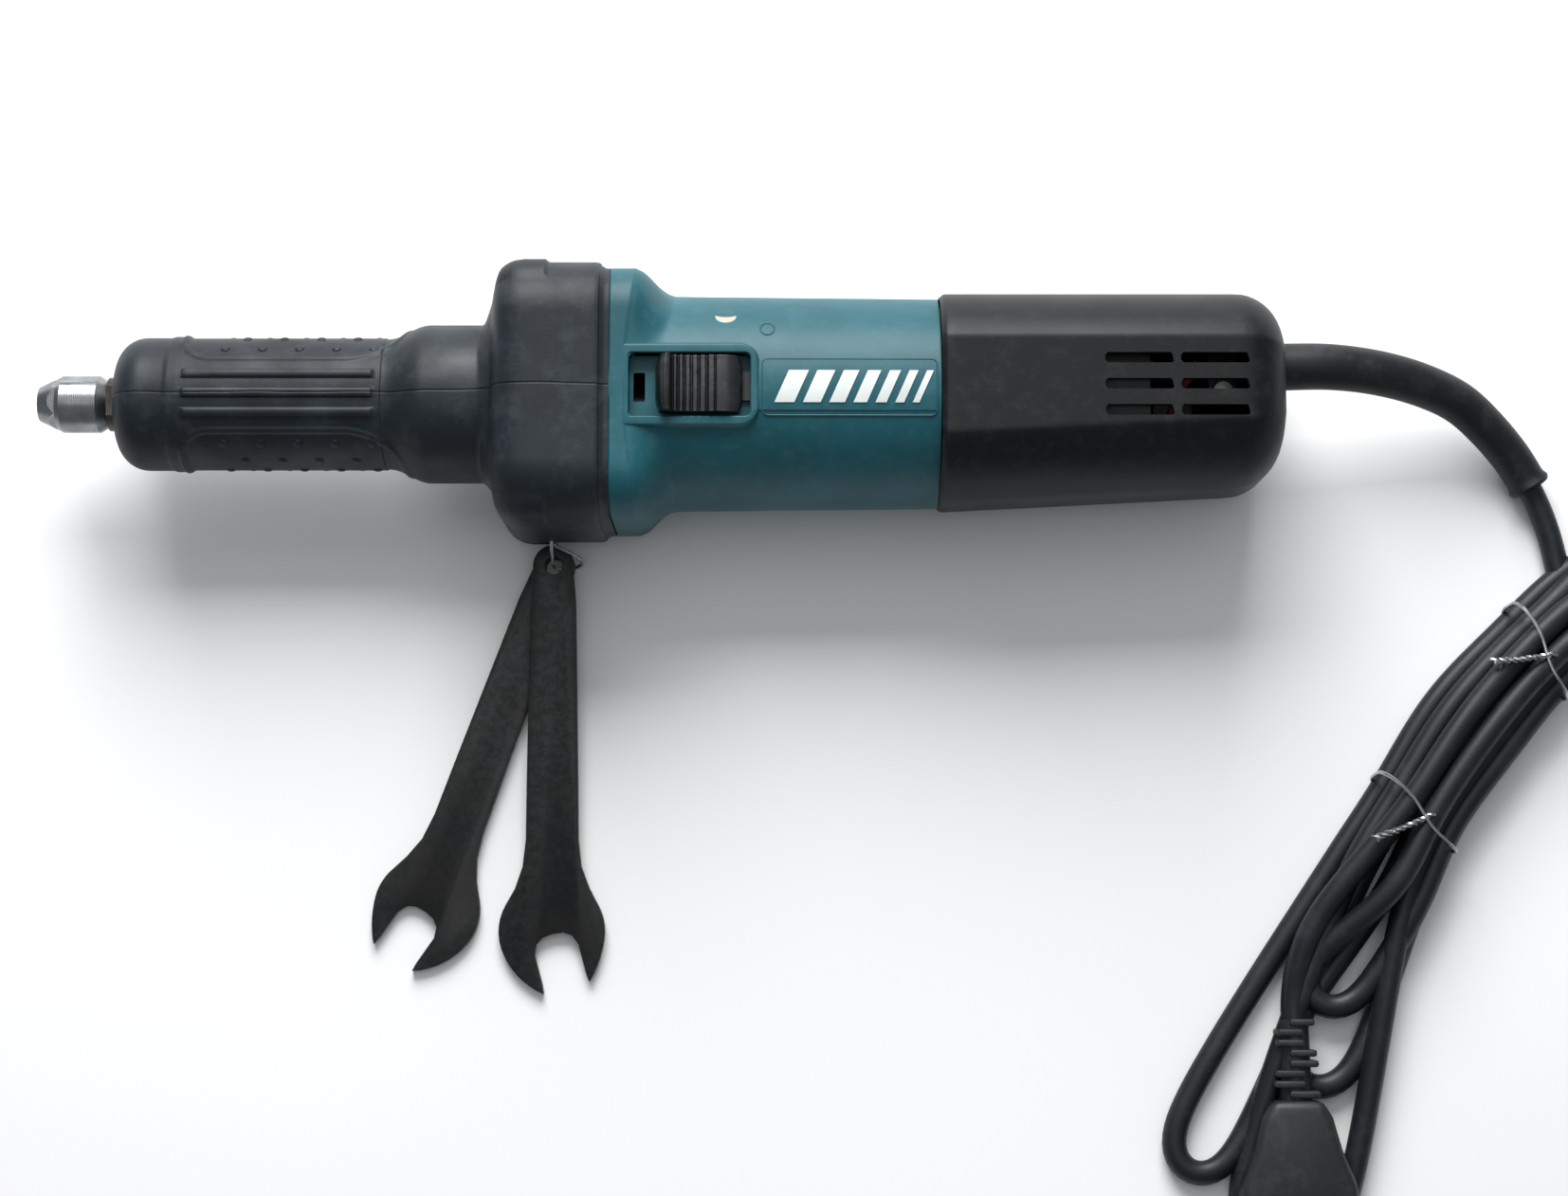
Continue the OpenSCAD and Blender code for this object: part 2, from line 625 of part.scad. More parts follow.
module motor_housing() color("teal") difference() {
    union() {
        intersection() {
            turned(flare_outline);
            along_x(motor_x0, motor_x1 + 1) rounded_square(flange_w - 4, flange_h - 3.6, flange_r - 1);
        }
        translate([motor_x0 + 2, -recess_w / 2 - 4, 20]) cube([recess_x1 + 0.2 - motor_x0, recess_w + 8, pad_z - 20]);
        rod_x(motor_x1 - eps, sleeve_x1, sleeve_r1);
    }
    difference() {
        rod_x(motor_x0 - 1, motor_x1 - 2, field_r + 0.2);
        translate([recess_x0 - 2, -recess_w / 2 - 2, recess_z - 1.6])
            cube([recess_x1 + 4 - recess_x0, recess_w + 4, 20]);
        for (s = [-1, 1]) translate([0, s * field_screw_y, 0]) rod_x(core_x1 + 0.1, core_x1 + 9.5, field_boss_r);
    }
    difference() {
        rod_x(motor_x1 - 3, sleeve_x1 + 1, sleeve_r1 - 2.5);
        difference() {
            rod_x(web_x0, sleeve_x1, sleeve_r1);
            for (a = [0:60:300]) sector_x(web_x0 - 1, sleeve_x1 + 1, pocket_r + 2, sleeve_r1 - 3, a - 20, 40);
        }
    }
    rod_x(motor_rear_x, sleeve_x1 + 1, pocket_r);
    rod_x(web_x0 - 1, sleeve_x1, shaft_r + 2.5);
    // Recess for the knob, and the way out of it for the switch rod
    translate([recess_x0, -recess_w / 2, recess_z]) cube([recess_x1 - recess_x0, recess_w, 20]);
    translate([recess_x1 - 1, -rod_w / 2 - run, recess_z]) cube([6, rod_w + 2 * run, rod_t + 0.6]);
    translate([recess_x1, -rod_w / 2 - run, recess_z - 1]) cube([sleeve_x1 - recess_x1 + 1, rod_w + 2 * run, rod_t + 1.6]);
    // Openings for the brush holders, and holes for the screws
    for (s = [-1, 1]) translate([brush_x - brush_w / 2 - holder_wall - fit, s * 20 - 8, -brush_t / 2 - holder_wall - fit])
        cube([brush_w + 2 * holder_wall + 2 * fit, 16, brush_t + 2 * holder_wall + 2 * fit]);
    flange_screw_places() rod_x(motor_x0 - 1, motor_x0 + 6.2, screw_r + 0.05);
    for (s = [-1, 1]) translate([0, s * field_screw_y, 0]) rod_x(core_x0, core_x1 + 8.2, screw_r + 0.05);
    for (s = [-1, 1]) translate([cover_screw_x, s * cover_screw_y, -sleeve_r1 - 1]) cylinder(h = 8, r = screw_r + 0.05);
}

module front_badge() color("white") label_band(motor_x0 + 42.1, motor_x0 + 92.5, 14.3, 0.3, press);

module rating_plate() color("silver") mirror([0, 0, 1])
    label_band(motor_x0 + 30, motor_x0 + 84, 24, 0.3, press);

// ---- Brushes --------------------------------------------------------------------------------

module brush_holders() color("goldenrod") for (s = [-1, 1]) difference() {
    h = holder_r1 - holder_r0;
    y = s * (holder_r0 + h / 2);
    translate([brush_x, y, 0]) cube([brush_w + 2 * holder_wall, h, brush_t + 2 * holder_wall], center = true);
    translate([brush_x, y, 0]) cube([brush_w + 2 * fit, h + 1, brush_t + 2 * fit], center = true);
}

// side is +1 for the brush at +Y and -1 for the one at -Y
module brush(side) color("dimgray") difference() {
    translate([brush_x - brush_w / 2, side > 0 ? brush_r0 - 0.6 : -brush_r0 - brush_l, -brush_t / 2])
        cube([brush_w, brush_l + 0.6, brush_t]);
    rod_x(brush_x - brush_w, brush_x + brush_w, brush_r0);
}

// Constant-force spring, rolled up behind its brush
module brush_spring(side) color("silver")
    translate([brush_x, side * (brush_r0 + brush_l + roll_r + 0.05), -brush_t / 2 + 0.5])
        difference() {
            cylinder(h = brush_t - 1, r = roll_r);
            translate([0, 0, -1]) cylinder(h = brush_t + 1, r = roll_r - 0.8);
        }

module brush_left() brush(1);
module brush_right() brush(-1);
module brush_spring_left() brush_spring(1);
module brush_spring_right() brush_spring(-1);

// ---- Switch -----------------------------------------------------------------------------------

knob_base = rod_z0 + rod_t + 1.2;   // leaves room for the knob to rock
knob_profile = concat(
    [[knob_x0, knob_base], [knob_x0, knob_z - 1.6], [knob_x0 + 0.8, knob_z - 0.4], [knob_x0 + 2.2, knob_z - 0.4]],
    arc(knob_x0 + 8, knob_z + 6.6, 8.6, 232, 290, 6),
    [[knob_x0 + 12, knob_z - 0.6], [knob_x0 + 14, knob_z], [knob_x1 - 2.2, knob_z - 1.4],
     [knob_x1, knob_z - 3], [knob_x1, knob_base]]);

module switch_knob() color("black") difference() {
    translate([0, knob_w / 2, 0]) rotate([90, 0, 0]) linear_extrude(knob_w) polygon(knob_profile);
    // Socket for the slider's peg, with room to rock
    translate([knob_x0 + 6.6, -3.2, knob_base - 1]) cube([5.8, 6.4, 3.2]);
    // Round groove that the knob rocks in, on the slider's pivot
    knob_pivot(1, 4.6);
    translate([knob_x0 + 21.4, -2.3, knob_base - 1]) cube([2, 4.6, 1.4]);
}

// Cross pin near the knob's rear
module knob_pivot(r, w) translate([knob_x0 + 22.4, w / 2, knob_base + 0.4]) rotate([90, 0, 0]) cylinder(h = w, r = r);

module switch_slider() color("darkgray") {
    translate([knob_x0 + 1, -rod_w / 2, rod_z0]) cube([rod_x1 - knob_x0 - 1, rod_w, rod_t]);
    translate([knob_x0 + 7, -2.8, rod_z0]) cube([5, 5.6, rod_t + 2.3]);
    translate([knob_x0 + 21.8, -2, rod_z0]) cube([1.2, 4, knob_base + 0.4 - rod_z0]);
    knob_pivot(0.9, 4);
    translate([lever_x, -rod_w / 2, switch_top + 0.4]) cube([3, rod_w, rod_z0 + rod_t - switch_top - 0.4]);
}

module switch_body() color("black") difference() {
    translate([switch_x0, -10, switch_top - 16]) cube([switch_l, 20, 16]);
    translate([switch_x0 + 0.6, -2.5, switch_top - 5]) cube([switch_travel + 4.4, 5, 6]);
    for (s = [-1, 1]) translate([switch_x0 + switch_l - 4, s * 6 - 1.4, switch_top - 12]) cube([5, 2.8, 2.8]);
}

// The switch's own lever, which the rod's end pushes
module switch_lever() color("red")
    translate([lever_x + 0.4, -2.1, switch_top - 4.6]) cube([2.2, 4.2, 4.9]);

// ---- Rear cover ----------------------------------------------------------------------------------

cover_taper = 5;     // how far the -Y side comes in towards the rear
end_r = 12;

// Outline seen from the switch side
module cover_plan(inset) {
    w = cover_w / 2 - inset;
    x1 = cover_x1 - inset;
    r = end_r - inset;
    polygon(concat([[motor_x1 - 1, -w], [motor_x1 - 1, w]],
        arc(x1 - r, w - 0.8 - r, r, 90, 0, 8),
        arc(x1 - r, -w + cover_taper + r, r, 0, -90, 8)));
}

// Outline seen from the side
module cover_side(inset) {
    h = cover_h / 2 - inset;
    x1 = cover_x1 - inset;
    r = 14 - inset;
    polygon(concat([[motor_x1 - 1, -h], [motor_x1 - 1, h]],
        arc(x1 - r, h - r, r, 90, 0, 6), arc(x1 - r, -h + r, r, 0, -90, 6)));
}

module cover_block(x0, inset) intersection() {
    along_x(x0, cover_x1) rounded_square(cover_w - 2 * inset, cover_h - 2 * inset, cover_corner - inset);
    translate([0, 0, -cover_h]) linear_extrude(2 * cover_h) cover_plan(inset);
    translate([0, cover_w, 0]) rotate([90, 0, 0]) linear_extrude(2 * cover_w) cover_side(inset);
}

module rear_cover() color("dimgray") difference() {
    union() {
        difference() {
            cover_block(motor_x1, 0);
            cover_block(motor_x1 - 1, cover_wall);
        }
        // Saddle for the cord, with posts for the strap's screws
        intersection() {
            translate([saddle_x, cord_y - 13, -cover_h / 2 + 1])
                cube([strap_w, 26, cover_h / 2 - 1 - cord_d / 2 - 0.2]);
            cover_block(motor_x1, 1);
        }
    }
    for (x = vent_x, row = [-1:1], side = [0, 1]) mirror([0, 0, side])
        translate([x, row * vent_pitch - vent_h / 2, cover_h / 2 - cover_wall - 1]) cube([vent_len, vent_h, cover_wall + 2]);
    rod_x(motor_x1 - 1, sleeve_x1 + 0.5, sleeve_r1 + press);
    translate([0, cord_y, 0]) rod_x(cover_x1 - 6, cover_x1 + 1, guard_root_r + 0.05);
    for (s = [-1, 1]) {
        translate([cover_screw_x, s * cover_screw_y, -cover_h / 2 - 1]) cylinder(h = 6, r = screw_r + 0.2);
        translate([cover_screw_x, s * cover_screw_y, -cover_h / 2 - 1]) cylinder(h = 2.2, r = head_r + 0.2);
        translate([saddle_x + strap_w / 2, cord_y + s * 8.5, -cord_d / 2 - 12]) cylinder(h = 14, r = 1.25);
    }
}

module cover_screws() color("dimgray") for (s = [-1, 1]) translate([cover_screw_x, s * cover_screw_y, 0]) {
    translate([0, 0, -cover_h / 2 + 0.2]) cylinder(h = 1, r = head_r);
    translate([0, 0, -cover_h / 2 + 1]) cylinder(h = cover_h / 2 - 1 - sleeve_r1 + 6.5, r = screw_r);
}

module terminal_block() color("ivory") difference() {
    translate([saddle_x - 15, -19, -14]) cube([11, 20, 12]);
    for (y = [-15.5, -9, -2.5]) translate([saddle_x - 9.5, y, -10]) cylinder(h = 10, r = 1.8);
}

// Capacitor that suppresses radio noise
module suppressor() color("gold") translate([switch_x0 + 4, -7, -20]) cube([24, 14, 11]);

module internal_leads() color("firebrick") {
    for (s = [-1, 1]) {
        // From a brush holder, through the web and round the switch to its rear terminal
        wire([[brush_x + brush_w / 2 + holder_wall + 0.1, s * 21, 0], [sleeve_x1 + 6, s * 21, 0],
              [switch_x0 + 24, s * 16, 6], [switch_x0 + switch_l - 2, s * 13, 8],
              [switch_x0 + switch_l + 2.4, s * 10, 10], [switch_x0 + switch_l + 2.6, s * 7, switch_top - 10.6],
              [switch_x0 + switch_l - 2, s * 6, switch_top - 10.6]], 0.9, [0, 0, 1]);
        // From the supply cord to the terminal block
        wire([[cover_x1 - 22.6, cord_y + s * 1.6, 0], [saddle_x - 6, cord_y - 3 + s * 2, -0.5],
              [saddle_x - 9.5, s > 0 ? 0 : -6.5, -0.4], [saddle_x - 9.7, s > 0 ? -2.5 : -9, -2.5],
              [saddle_x - 9.5, s > 0 ? -2.5 : -9, -8]], 0.9, [1, 0.2, 0]);
    }
}

module cord_strap() color("dimgray") difference() {
    translate([saddle_x, cord_y - 11.5, cord_d / 2 + 0.1]) cube([strap_w, 23, 2.4]);
    for (s = [-1, 1]) translate([saddle_x + strap_w / 2, cord_y + s * 8.5, 0]) cylinder(h = 10, r = 1.7);
}

module strap_screws() color("silver") for (s = [-1, 1])
    translate([saddle_x + strap_w / 2, cord_y + s * 8.5, 0]) {
        translate([0, 0, -cord_d / 2 - 8]) cylinder(h = cord_d + 11, r = 1.2);
        translate([0, 0, cord_d / 2 + 2.6]) cylinder(h = 1.8, r = 2.8);
    }

// ---- Cord ---------------------------------------------------------------------------------------------

guard_points = smooth_path(from_cover(guard_path), 3);
cord_points = smooth_path(from_cover(cord_path), 2);

function guard_radius(t) = t > 0.96 ? guard_tip_r + 0.6 : guard_root_r + (guard_tip_r - guard_root_r) * t;

module cord_guard() color("black") difference() {
    union() {
        n = len(guard_points) - 1;
        swept(guard_points, [for (i = [0:n]) guard_radius(i / n)], 16);
        translate([0, cord_y, 0]) {
            rod_x(cover_x1 - cover_wall - 0.1, cover_x1 + 1, guard_root_r);
            rod_x(cover_x1 - cover_wall - 5, cover_x1 - cover_wall - 0.1 + eps, guard_root_r + 2.4);
        }
    }
    swept(cord_points, [for (p = cord_points) cord_d / 2 + 0.25], 12);
}

module cord_lead() color("black") swept(cord_points, [for (p = cord_points) cord_d / 2], 12);

function hank_mid(t) = let (c = [for (p = hank_ctrl) p + [cover_x1, 0]], u = 1 - t)
    u * u * u * c[0] + 3 * u * u * t * c[1] + 3 * u * t * t * c[2] + t * t * t * c[3];
function hank_dir(t) = let (d = hank_mid(t + 0.01) - hank_mid(t - 0.01)) d / norm(d);
function hank_side(t) = let (d = hank_dir(t)) [-d[1], d[0]];

function hank_end(t, r, a) = let (d = hank_dir(t), m = hank_mid(t), a0 = atan2(d[1], d[0]) + a)
    arc(m[0], m[1], r, a0, a0 - 180, 10);

module hank_block() {
    n = len(hank_half) - 1;
    translate([0, 0, floor_z]) linear_extrude(hank_h) polygon(concat(
        [for (i = [1:n - 1]) hank_mid(i / n) + hank_half[i] * hank_side(i / n)],
        hank_end(1, hank_half[n], 90),
        [for (i = [n - 1:-1:1]) hank_mid(i / n) - hank_half[i] * hank_side(i / n)],
        hank_end(0, hank_half[0], 270)));
}

// Places its children across the hank, x along it, y across it, z up from the floor
module at_tie(t) {
    d = hank_dir(t);
    translate([hank_mid(t)[0], hank_mid(t)[1], floor_z]) rotate([0, 0, atan2(d[1], d[0])]) children();
}

module tie_loop(t, r) at_tie(t) {
    w = hank_half[round(t * (len(hank_half) - 1))] + 2.1;
    wire([[0, -w + 1.2, r], [0, w - 1.2, r], [0, w, r + 1.2], [0, w, hank_h - 0.8], [0, w - 1.2, hank_h + 0.8],
          [0, -w + 1.2, hank_h + 0.8], [0, -w, hank_h - 0.8], [0, -w, r + 1.2]], r, [1, 0, 0], true);
}

module cord_hank() color("black") difference() {
    hank_block();
    for (t = tie_at) at_tie(t) translate([-1, -40, -1]) cube([2, 80, 3.6]);
    translate([plug_x - plug_w / 2 - 0.5, plug_y - plug_l - pin_len - 30, floor_z - 1]) cube([plug_w + 1, pin_len + 91, plug_t + 1.6]);
}

module hank_ties() color("silver") for (t = tie_at) {
    tie_loop(t, tie_r);
    at_tie(t) wire([[0, -5, hank_h + 1], [4, -6, hank_h + 1.6], [13, -9, hank_h + 1.6]], 0.9, [0, 0, 1]);
}

module plug_body() color("black") {
    difference() {
        translate([plug_x, plug_y - plug_l / 2, floor_z + plug_t / 2]) rotate([90, 0, 0])
            translate([0, 0, -plug_l / 2]) linear_extrude(plug_l) rounded_square(plug_w, plug_t, 6);
        for (s = [-1, 1]) translate([plug_x + s * plug_w * 0.72, plug_y - 12, floor_z - 1]) cylinder(h = plug_t + 2, r = 11);
        for (s = [-1, 1]) translate([plug_x + s * pin_gap / 2, plug_y - plug_l + 6 + press, floor_z + plug_t / 2])
            rotate([90, 0, 0]) cylinder(h = 10, r = pin_root_r + press);
    }
    // Segmented strain relief
    for (i = [0:3]) translate([plug_x - 6.5 + i * 0.5, plug_y - 0.5 + i * 6, floor_z + 1.5 + i * 0.2])
        cube([13 - i, 4.2, 13 - i * 0.4]);
    translate([plug_x, plug_y - 1, floor_z + plug_t / 2]) rotate([-90, 0, 0]) cylinder(h = 24, r = 4.6);
}

module plug_pins() color("silver") for (s = [-1, 1])
    translate([plug_x + s * pin_gap / 2, plug_y - plug_l, floor_z + plug_t / 2]) rotate([90, 0, 0]) {
        cylinder(h = pin_len, r = pin_r);
        // Necked root, which the moulding grips
        translate([0, 0, -6]) cylinder(h = 6 + eps, r = pin_root_r);
    }

// ---- Spanners --------------------------------------------------------------------------------------------

// One side of the head: from its shoulder round to the jaw tip, and back up the jaw
function head_side(s) = let (
        tip_a = 270 + s * atan(jaw_af / 2 / jaw_tip),
        tip_r = norm([jaw_af / 2, jaw_tip]),
        from = (s < 0 ? 150 : 390) - jaw_turn)
    [for (i = [0:16]) let (
            a = from + (tip_a - from) * i / 16,
            late = max(0, i / 16 - 0.45) / 0.55)
        (head_r_spanner + (tip_r - head_r_spanner) * late * late) * [cos(a), sin(a)]];

function turned_by(points, a) = [for (p = points) [p[0] * cos(a) - p[1] * sin(a), p[0] * sin(a) + p[1] * cos(a) + head_y]];
function reversed(points) = [for (i = [len(points) - 1:-1:0]) points[i]];

module spanner_outline() difference() {
    polygon(concat(
        arc(0, 0, eye_r, 0, 180, 20),
        [[-handle_w / 2, head_y + 30], [-handle_w / 2 - 0.6, head_y + 20], [-handle_w / 2 - 2.8, head_y + 12.5]],
        turned_by(head_side(-1), jaw_turn),
        turned_by(arc(0, throat_y, jaw_af / 2, 180, 0, 16), jaw_turn),
        turned_by(reversed(head_side(1)), jaw_turn),
        [[handle_w / 2 + 2.8, head_y + 12.5], [handle_w / 2 + 0.6, head_y + 20], [handle_w / 2, head_y + 30]]));
    circle(eye_hole_r);
}

// A spanner hangs from its eye at eye_z and its head rests on the floor
module spanner(eye_z, turn, flip) {
    tilt = asin((eye_z - floor_z) / (spanner_len - eye_r));
    translate([eye_x, eye_y, eye_z]) rotate([0, 0, turn]) rotate([tilt, 0, 0])
        mirror([flip, 0, 0]) linear_extrude(spanner_t) spanner_outline();
}

module spanner_upper() color("dimgray") spanner(upper_eye_z, 0, 0);
module spanner_lower() color("dimgray") spanner(lower_eye_z, -spanner_splay, 1);

module tether_wire() color("silver") wire([for (p = [
        [0, eye_y, floor_z + 0.8], [0, eye_y, floor_z + 4], [0, eye_y, floor_z + 12.2],
        [0, eye_y + 3, tether_z[1] - 1.6], [0, tether_y - 2, tether_z[1]], [0, tether_y, tether_z[1] - 1.4],
        [0, tether_y, tether_z[0] + 1.4], [0, tether_y - 2, tether_z[0]], [1, -flange_w / 2 - 0.6, tether_z[0]],
        [5, eye_y + 3.4, floor_z + 11.6], [8, eye_y + 2, floor_z + 8], [8.2, eye_y + 1, floor_z + 4],
        [6.4, eye_y + 0.4, floor_z + 1], [3, eye_y, floor_z + 0.7]]) p + [eye_x, 0, 0]], 0.5, [0.3, 0.1, 0.05], true);

collet_nut();
collet();
spindle();
front_bearing_outer();
front_bearing_inner();
front_bearing_balls();
bearing_retainer();
wave_washer();
mid_bearing_outer();
mid_bearing_inner();
mid_bearing_balls();
mid_bearing_circlip();
coupling_sleeve();
nose_housing();
nose_boot();
flange_screws();
motor_shaft();
armature_core();
armature_windings();
commutator();
cooling_fan();
motor_front_bearing_outer();
motor_front_bearing_inner();
motor_front_bearing_balls();
motor_rear_bearing_outer();
motor_rear_bearing_inner();
motor_rear_bearing_balls();
rear_bearing_sleeve();
baffle_plate();
field_core();
field_coils();
field_screws();
motor_housing();
front_badge();
rating_plate();
brush_holders();
brush_left();
brush_right();
brush_spring_left();
brush_spring_right();
switch_knob();
switch_slider();
switch_body();
switch_lever();
rear_cover();
cover_screws();
terminal_block();
suppressor();
internal_leads();
cord_strap();
strap_screws();
cord_guard();
cord_lead();
cord_hank();
hank_ties();
plug_body();
plug_pins();
spanner_upper();
spanner_lower();
tether_wire();
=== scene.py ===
"""Visual model of an electric die grinder with its spanners and its cord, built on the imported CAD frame."""

import json
import logging
import math
from dataclasses import dataclass, field
from enum import Enum
from typing import Callable, Iterable, Optional, Sequence

import bmesh
import bpy
from mathutils import Matrix, Vector

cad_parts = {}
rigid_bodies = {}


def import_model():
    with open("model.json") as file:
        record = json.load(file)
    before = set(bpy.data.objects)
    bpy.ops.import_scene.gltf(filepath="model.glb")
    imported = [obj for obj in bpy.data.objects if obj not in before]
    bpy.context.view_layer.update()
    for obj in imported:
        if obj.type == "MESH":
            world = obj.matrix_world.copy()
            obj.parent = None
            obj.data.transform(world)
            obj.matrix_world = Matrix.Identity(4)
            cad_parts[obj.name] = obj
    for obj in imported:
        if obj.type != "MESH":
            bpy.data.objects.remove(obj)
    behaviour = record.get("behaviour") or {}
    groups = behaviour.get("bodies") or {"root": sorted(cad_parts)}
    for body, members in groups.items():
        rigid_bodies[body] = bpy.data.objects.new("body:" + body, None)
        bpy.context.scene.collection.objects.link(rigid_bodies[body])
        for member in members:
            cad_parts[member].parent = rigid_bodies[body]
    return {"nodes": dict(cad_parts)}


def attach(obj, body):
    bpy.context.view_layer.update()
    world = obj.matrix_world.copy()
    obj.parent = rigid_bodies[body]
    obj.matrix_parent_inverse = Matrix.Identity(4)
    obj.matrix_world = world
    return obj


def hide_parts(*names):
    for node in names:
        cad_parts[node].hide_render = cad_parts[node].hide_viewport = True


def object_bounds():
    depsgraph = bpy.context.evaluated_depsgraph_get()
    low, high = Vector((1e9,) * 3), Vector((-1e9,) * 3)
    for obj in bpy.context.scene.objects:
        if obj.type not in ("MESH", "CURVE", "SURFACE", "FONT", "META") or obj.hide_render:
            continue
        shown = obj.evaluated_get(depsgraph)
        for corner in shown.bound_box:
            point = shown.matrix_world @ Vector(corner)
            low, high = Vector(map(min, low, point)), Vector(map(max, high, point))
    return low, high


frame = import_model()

LOG = logging.getLogger("die_grinder")
MM = 0.001
CAD_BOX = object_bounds()
FLOOR_Z = CAD_BOX[0].z
Point = tuple[float, float, float]
Socket = bpy.types.NodeSocket
Tree = bpy.types.NodeTree
BMesh = bmesh.types.BMesh


# ---- Finishes -------------------------------------------------------------------------------


def linear(code: str) -> tuple[float, float, float, float]:
    """Turns an sRGB hex colour into the linear colour that shaders use.

    Args:
        code: Six hex digits, with or without a leading hash.

    Returns:
        Red, green, blue and an alpha of one.
    """
    code = code.lstrip("#")
    parts = [int(code[i : i + 2], 16) / 255 for i in (0, 2, 4)]
    red, green, blue = (c / 12.92 if c <= 0.04045 else ((c + 0.055) / 1.055) ** 2.4 for c in parts)
    return red, green, blue, 1.0


def add_node(
    tree: Tree, kind: str, settings: Optional[dict] = None, inputs: Optional[dict] = None
) -> bpy.types.Node:
    """Adds one shader node with its settings and its links.

    Args:
        tree: The material's node tree.
        kind: The node's type, such as "ShaderNodeTexNoise".
        settings: Attributes to set on the node.
        inputs: For each input, a value or the output socket that feeds it.

    Returns:
        The new node.
    """
    node = tree.nodes.new(kind)
    for key, value in (settings or {}).items():
        setattr(node, key, value)
    for key, value in (inputs or {}).items():
        if isinstance(value, Socket):
            tree.links.new(value, node.inputs[key])
        else:
            node.inputs[key].default_value = value
    return node


class Marks(Enum):
    """What the making of a surface leaves on it."""

    NONE = "none"
    TURNED = "turned"  # rings round the spindle axis, from the lathe
    LAMINATED = "laminated"  # edges of a stack of sheets along the spindle axis
    DRAWN = "drawn"  # long fine scratches
    WOUND = "wound"  # strands of magnet wire along the spindle axis


@dataclass(frozen=True)
class Finish:
    """A surface: its material, how it was made, and what handling has done to it."""

    name: str
    colour: str
    shade: str
    roughness: float = 0.5
    roughness_spread: float = 0.08
    metallic: float = 0.0
    ior: float = 1.5
    grain_mm: float = 0.6
    grain_depth_mm: float = 0.02
    patch_mm: float = 28.0
    patch_share: float = 0.5
    marks: Marks = Marks.NONE
    mark_mm: float = 1.0
    mark_depth_mm: float = 0.02
    dust: float = 0.0
    dust_colour: str = "8d9092"
    dust_mm: float = 7.0
    # Lighter convex edges: rubbed wear on the spanners, painted sheen on the knob's ribs.
    edge_wear_and_sheen: float = 0.0
    edge_wear_and_sheen_colour: str = "b9bcbe"
    # Draws the parting line as a groove with painted shade in it.
    seam_with_shade: bool = False

    def material(self) -> bpy.types.Material:
        """Builds the material, or gives it back if it was built before."""
        found = bpy.data.materials.get(self.name)
        if found:
            return found
        made = bpy.data.materials.new(self.name)
        made.use_nodes = True
        tree = made.node_tree
        shader = tree.nodes["Principled BSDF"]
        where = add_node(tree, "ShaderNodeTexCoord").outputs["Object"]
        patches = self._noise(tree, where, self.patch_mm, 5.0, 0.6)
        mix = self._range(tree, patches, 0.36, 0.64, high=self.patch_share * 2)
        colour = self._mixed(tree, mix, linear(self.colour), linear(self.shade))
        low, high = self.roughness - self.roughness_spread, self.roughness + self.roughness_spread
        rough = self._range(tree, patches, 0.3, 0.7, low, high)
        grain = self._noise(tree, where, self.grain_mm, 3.0, 0.65)
        normal = self._bump(tree, grain, self.grain_depth_mm, None)
        if self.marks is not Marks.NONE:
            mark = self._mark(tree, where)
            normal = self._bump(tree, mark, self.mark_depth_mm, normal)
            # The low parts of drawn, laminated and wound marks are painted darker: painted shade in their
            # grooves.
            if self.marks is not Marks.TURNED:
                painted_groove_shade = tuple(c * 0.35 for c in linear(self.shade)[:3]) + (1.0,)
                low = self._range(tree, mark, 0.35, 0.0, high=0.8)
                colour = self._mixed(tree, low, colour, painted_groove_shade)
        if self.seam_with_shade:
            colour, normal = self._seam_with_shade(tree, where, colour, normal)
        # Lightens convex edges: rubbed wear, and on the knob's ribs a painted sheen.
        if self.edge_wear_and_sheen:
            edge = add_node(tree, "ShaderNodeNewGeometry").outputs["Pointiness"]
            edge_wear_and_sheen_share = self._range(tree, edge, 0.52, 0.62, high=self.edge_wear_and_sheen)
            fine = self._noise(tree, where, 2.2, 4.0, 0.7)
            broken = self._range(tree, fine, 0.42, 0.58)
            edge_wear_and_sheen_share = add_node(
                tree, "ShaderNodeMath", {"operation": "MULTIPLY"}, {0: edge_wear_and_sheen_share, 1: broken}
            ).outputs[0]
            colour = self._mixed(tree, edge_wear_and_sheen_share, colour, linear(self.edge_wear_and_sheen_colour))
        if self.dust:
            colour, rough = self._dusted(tree, where, colour, rough)
        tree.links.new(colour, shader.inputs["Base Color"])
        tree.links.new(rough, shader.inputs["Roughness"])
        tree.links.new(normal, shader.inputs["Normal"])
        shader.inputs["Metallic"].default_value = self.metallic
        if not self.metallic:
            shader.inputs["IOR"].default_value = self.ior
        return made

    @staticmethod
    def _noise(tree: Tree, where: Socket, size_mm: float, detail: float, rough: float) -> Socket:
        """Gives noise whose lumps are size_mm across."""
        return add_node(
            tree,
            "ShaderNodeTexNoise",
            inputs={"Vector": where, "Scale": 1 / (size_mm * MM), "Detail": detail, "Roughness": rough},
        ).outputs["Fac"]

    @staticmethod
    def _range(
        tree: Tree, value: object, start: float, end: float, low: float = 0.0, high: float = 1.0
    ) -> Socket:
        """Maps a value from start..end to low..high, and holds it there."""
        inputs = {"Value": value, "From Min": start, "From Max": end, "To Min": low, "To Max": high}
        return add_node(tree, "ShaderNodeMapRange", inputs=inputs).outputs[0]

    @staticmethod
    def _mixed(tree: Tree, share: object, first: object, second: object) -> Socket:
        """Mixes two colours, or sockets that carry them, by a share."""
        mix = tree.nodes.new("ShaderNodeMix")
        mix.data_type = "RGBA"
        for index, value in ((0, share), (6, first), (7, second)):
            if isinstance(value, Socket):
                tree.links.new(value, mix.inputs[index])
            else:
                mix.inputs[index].default_value = value
        return mix.outputs[2]

